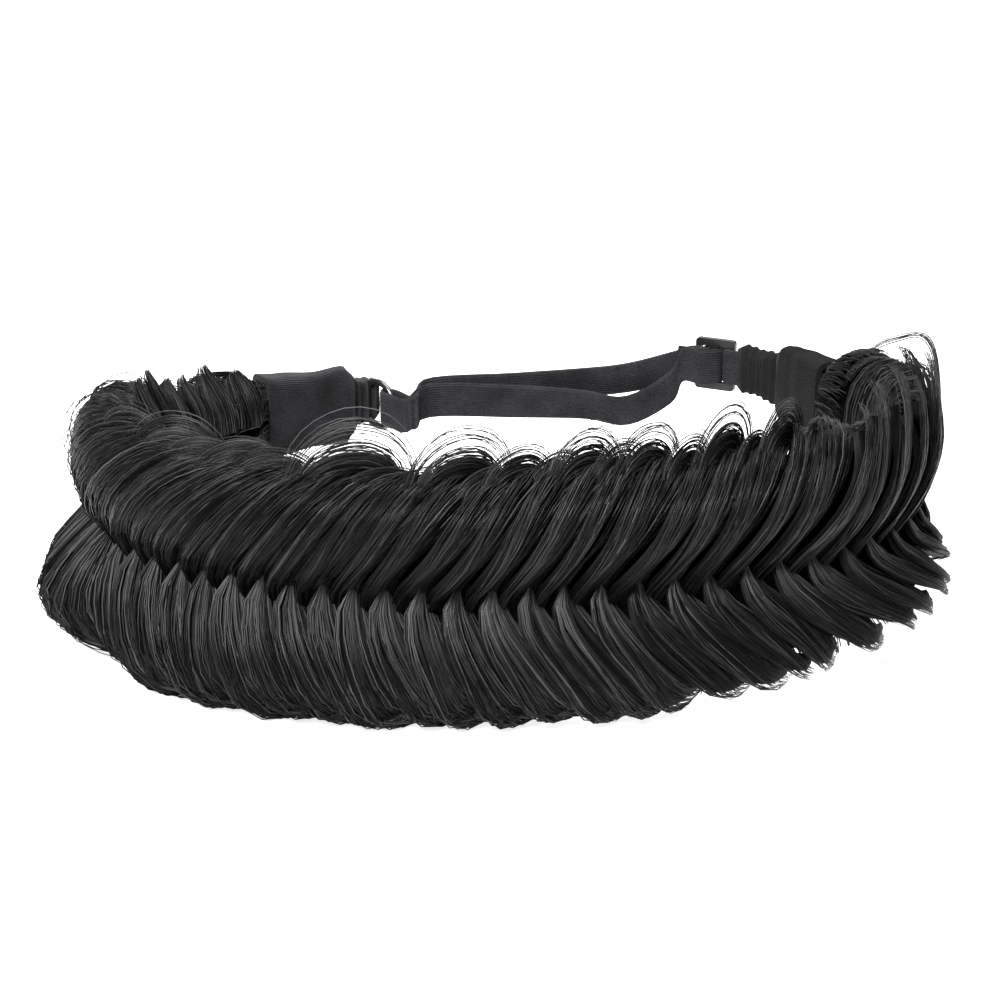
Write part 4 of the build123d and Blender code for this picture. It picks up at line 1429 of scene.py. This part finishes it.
def makeStrap(material):
    points, leans = strapRoute()
    path, leans = easedRun(points, strap["steps"]), easedRun(leans, strap["steps"])
    inwards = place(sliderMark + strap["width"], -1, 0) - place(sliderMark + strap["width"], 0, 0)
    leans = np.minimum(strap["width"] * strap["steepest"], leans)
    half = inwards * leans[:, None]
    half[:, 2] = np.sqrt(strap["width"] ** 2 - leans ** 2)
    half = half / strap["width"]
    ahead = np.gradient(path, axis=0)
    across = np.cross(ahead, half)
    across = across / np.linalg.norm(across, axis=-1, keepdims=True)
    flat, over, way = flatSection(strap["thickness"] / 2, strap["width"] / 2, strap["around"],
                                  tab["squareness"])
    rings = path[:, None] + across[:, None] * flat[:, None] + half[:, None] * over[:, None]
    ways = across[:, None] * way[:, :1] + half[:, None] * way[:, 1:]
    skin = rings[:, :-1]
    run = np.concatenate(([0.0], np.cumsum(np.linalg.norm(np.diff(path, axis=0), axis=-1))))
    combAcross = np.arange(skin.shape[1])[None, :] * strap["combWidth"]
    made = closedPiece("strapSkin", skin, combAcross, run[:, None], material, 50)
    finishPiece(made, "strap_elastic", "strap")
    sheet = sheetObject("strapSheet", rings[None], ways[None])
    sizes = dict(ribs, **{"Strands a lock": strap["ribs"], "Points": 210, "Thickness": strap["ribWidth"]})
    finishPiece(growStrands("strapRibs", sheet, material, sizes), "strap_elastic", "strap")
    bpy.data.objects.remove(sheet)
    print("strap length", round(float(run[-1]), 1))


# Knitted elastic: dull spun yarn over rubber, in ribs, with a fine cross weave between them
elastic = {
    "dark": "#141415",
    "light": "#2c2c2f",
    "threadSpacing": 0.5,
    "patches": 9.0,          # the size of random patches where the yarn is lighter or darker
    "contrast": (0.12, 0.42),
    "bump": 0.12,
    "roughness": 0.85,
    "specular": 0.1,         # spun yarn scatters nearly all that it returns
    "sheen": 0.04,
}

# The right tab is the same elastic in darker colours: painted shade, since the key light falls more fully on
# it than on the left one
paintedShadeElastic = dict(elastic, dark="#080809", light="#151516")


def makeElasticMaterial(name, finish):
    material, tree, shader = newMaterial(name)
    spot = addNode(tree, "ShaderNodeTexCoord").outputs["Object"]
    knit, patches = (addNode(tree, "ShaderNodeTexNoise", None, {
        "Vector": spot, "Scale": 1 / (finish[size] * mm), "Detail": 2.0}).outputs[0]
        for size in ("threadSpacing", "patches"))
    both = addNode(tree, "ShaderNodeMath", {"operation": "MULTIPLY"}, {0: knit, 1: patches})
    low, high = finish["contrast"]
    share = addNode(tree, "ShaderNodeMapRange", None, {0: both.outputs[0], 1: low, 2: high})
    tint = addNode(tree, "ShaderNodeMix", {"data_type": "RGBA"},
                   {0: share.outputs[0], 6: srgb(finish["dark"]), 7: srgb(finish["light"])})
    bump = addNode(tree, "ShaderNodeBump", None,
                   {"Height": knit, "Strength": 0.5, "Distance": finish["bump"] * mm})
    fillInputs(tree, shader, {"Base Color": tint.outputs[2], "Normal": bump.outputs[0],
                              "Roughness": finish["roughness"], "Specular IOR Level": finish["specular"],
                              "Sheen Weight": finish["sheen"], "Sheen Roughness": 0.5})
    return material


# Steel wire under black lacquer: a hard bright line of light, with faint wear in the coat
lacquer = {
    "colour": "#0a0a0b",
    "worn": "#1d1d1f",
    "grain": 1.2,
    "bump": 0.05,
    "roughness": (0.16, 0.34),
    "coat": 0.6,
    "ior": 1.5,
}

# Acetal, injection moulded: satin black, with a fine even grain from the mould
moulded = {
    "colour": "#0a0a0b",
    "worn": "#18181a",
    "grain": 0.35,
    "bump": 0.05,
    "roughness": (0.34, 0.5),
    "coat": 0.0,
    "ior": 1.48,
}


def makeHardMaterial(name, finish):
    material, tree, shader = newMaterial(name)
    spot = addNode(tree, "ShaderNodeTexCoord").outputs["Object"]
    grain = addNode(tree, "ShaderNodeTexNoise", None,
                    {"Vector": spot, "Scale": 1 / (finish["grain"] * mm), "Detail": 3.0}).outputs[0]
    tint = addNode(tree, "ShaderNodeMix", {"data_type": "RGBA"},
                   {0: grain, 6: srgb(finish["colour"]), 7: srgb(finish["worn"])})
    low, high = finish["roughness"]
    rough = addNode(tree, "ShaderNodeMapRange", None, {0: grain, 1: 0.3, 2: 0.7, 3: low, 4: high})
    bump = addNode(tree, "ShaderNodeBump", None,
                   {"Height": grain, "Strength": 0.2, "Distance": finish["bump"] * mm})
    fillInputs(tree, shader, {"Base Color": tint.outputs[2], "Roughness": rough.outputs[0],
                              "Normal": bump.outputs[0], "IOR": finish["ior"],
                              "Coat Weight": finish["coat"]})
    return material


def dressNode(node, material):
    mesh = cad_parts[node].data
    mesh.materials.clear()
    mesh.materials.append(material)


print("frame ready", round(loopLength, 1), round(braidLength, 1), frameShift.round(3).tolist())

strandTree = makeStrandTree()
fibreMaterial = makeFibreMaterial()
bundleMaterial = makeBundleMaterial("combedModacrylic", hairBundle)
shadowMaterial = makeBundleMaterial("shadedModacrylic", hairShadow)
finishPiece(makeHeart(shadowMaterial), "hair", "upper_locks", "lower_locks")
dressRow("upper", 11, fibreMaterial, bundleMaterial)
dressRow("lower", 23, fibreMaterial, bundleMaterial)
finishPiece(makeCrests(bundleMaterial), "hair", "upper_locks")
addLoops(fibreMaterial)
makeTab("left", makeElasticMaterial("knittedElasticTab", elastic))
makeTab("right", makeElasticMaterial("paintedShadeElasticTab", paintedShadeElastic))
makeStrap(makeElasticMaterial("knittedElasticBand", elastic))
dressNode("ring", makeHardMaterial("lacqueredSteelWire", lacquer))
dressNode("slider", makeHardMaterial("mouldedAcetal", moulded))
pieces = [piece for piece in bpy.data.objects if piece.type == "MESH" and piece.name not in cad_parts]
print("triangles", sum(len(face.vertices) - 2 for piece in pieces for face in piece.data.polygons))


# Floor, light and camera, in metres and watts. The paper glows, so that it comes out white.
floor = {
    "half": 12.0,
    "colour": "#c8c8c8",
    "roughness": 0.9,
    "glow": 0.82,
}


def makeFloor():
    half = floor["half"]
    mesh = bpy.data.meshes.new("studioFloor")
    corners = [(-half, -half, 0), (half, -half, 0), (half, half, 0), (-half, half, 0)]
    mesh.from_pydata(corners, [], [(0, 1, 2, 3)])
    made = bpy.data.objects.new("studioFloor", mesh)
    bpy.context.scene.collection.objects.link(made)
    material, tree, shader = newMaterial("whitePaper")
    fillInputs(tree, shader, {"Base Color": srgb(floor["colour"]), "Roughness": floor["roughness"],
                              "Emission Color": (1.0, 1.0, 1.0, 1.0), "Emission Strength": floor["glow"]})
    mesh.materials.append(material)


def toEuler(way):
    return Vector(way).to_track_quat("-Z", "Y").to_euler()


# Softboxes: name, place, target, width and height, and power
lights = [
    ("keySoftbox", (-0.35, -0.75, 0.75), (0.0, -0.03, 0.03), (0.50, 0.40), 32.0),
    ("topSoftbox", (0.05, 0.10, 1.10), (0.0, 0.0, 0.03), (0.8, 0.6), 20.0),
    ("backSoftbox", (0.2, 0.9, 0.7), (0.0, 0.0, 0.03), (1.2, 0.5), 8.0),
]
worldLight = 0.22


def addLight(name, spot, target, size, power):
    data = bpy.data.lights.new(name, "AREA")
    data.shape = "RECTANGLE"
    data.size, data.size_y = size
    data.energy = power
    light = bpy.data.objects.new(name, data)
    bpy.context.scene.collection.objects.link(light)
    light.location = spot
    light.rotation_euler = toEuler(np.array(target) - np.array(spot))


def makeWorld():
    world = bpy.data.worlds.new("studio")
    bpy.context.scene.world = world
    world.use_nodes = True
    background = world.node_tree.nodes["Background"]
    background.inputs[0].default_value = (1.0, 1.0, 1.0, 1.0)
    background.inputs[1].default_value = worldLight
    bpy.context.scene.view_settings.view_transform = "Standard"


# The camera, in degrees and millimetres: the target is the point seen at targetPixel
view = {
    "azimuth": 3.0,
    "elevation": 21.0,
    "distance": 600.0,
    "target": (0.0, -35.0, 30.0),
    "focalPixels": 2564.0,
    "targetPixel": (513.0, 541.0),
    "pixels": 1000.0,
    "sensor": 36.0,
}


def makeCamera():
    data = bpy.data.cameras.new("camera")
    camera = bpy.data.objects.new("camera", data)
    bpy.context.scene.collection.objects.link(camera)
    side, tilt = math.radians(view["azimuth"]), math.radians(view["elevation"])
    way = np.array([math.sin(side) * math.cos(tilt), math.cos(side) * math.cos(tilt), -math.sin(tilt)])
    camera.location = (np.array(view["target"]) - way * view["distance"]) * mm
    camera.rotation_euler = toEuler(way)
    data.sensor_width = view["sensor"]
    data.lens = view["focalPixels"] / view["pixels"] * data.sensor_width
    data.shift_x = 0.5 - view["targetPixel"][0] / view["pixels"]
    data.shift_y = view["targetPixel"][1] / view["pixels"] - 0.5
    data.clip_start = 0.01
    bpy.context.scene.camera = camera


makeFloor()
for light in lights:
    addLight(*light)
makeWorld()
makeCamera()
print("stage ready")
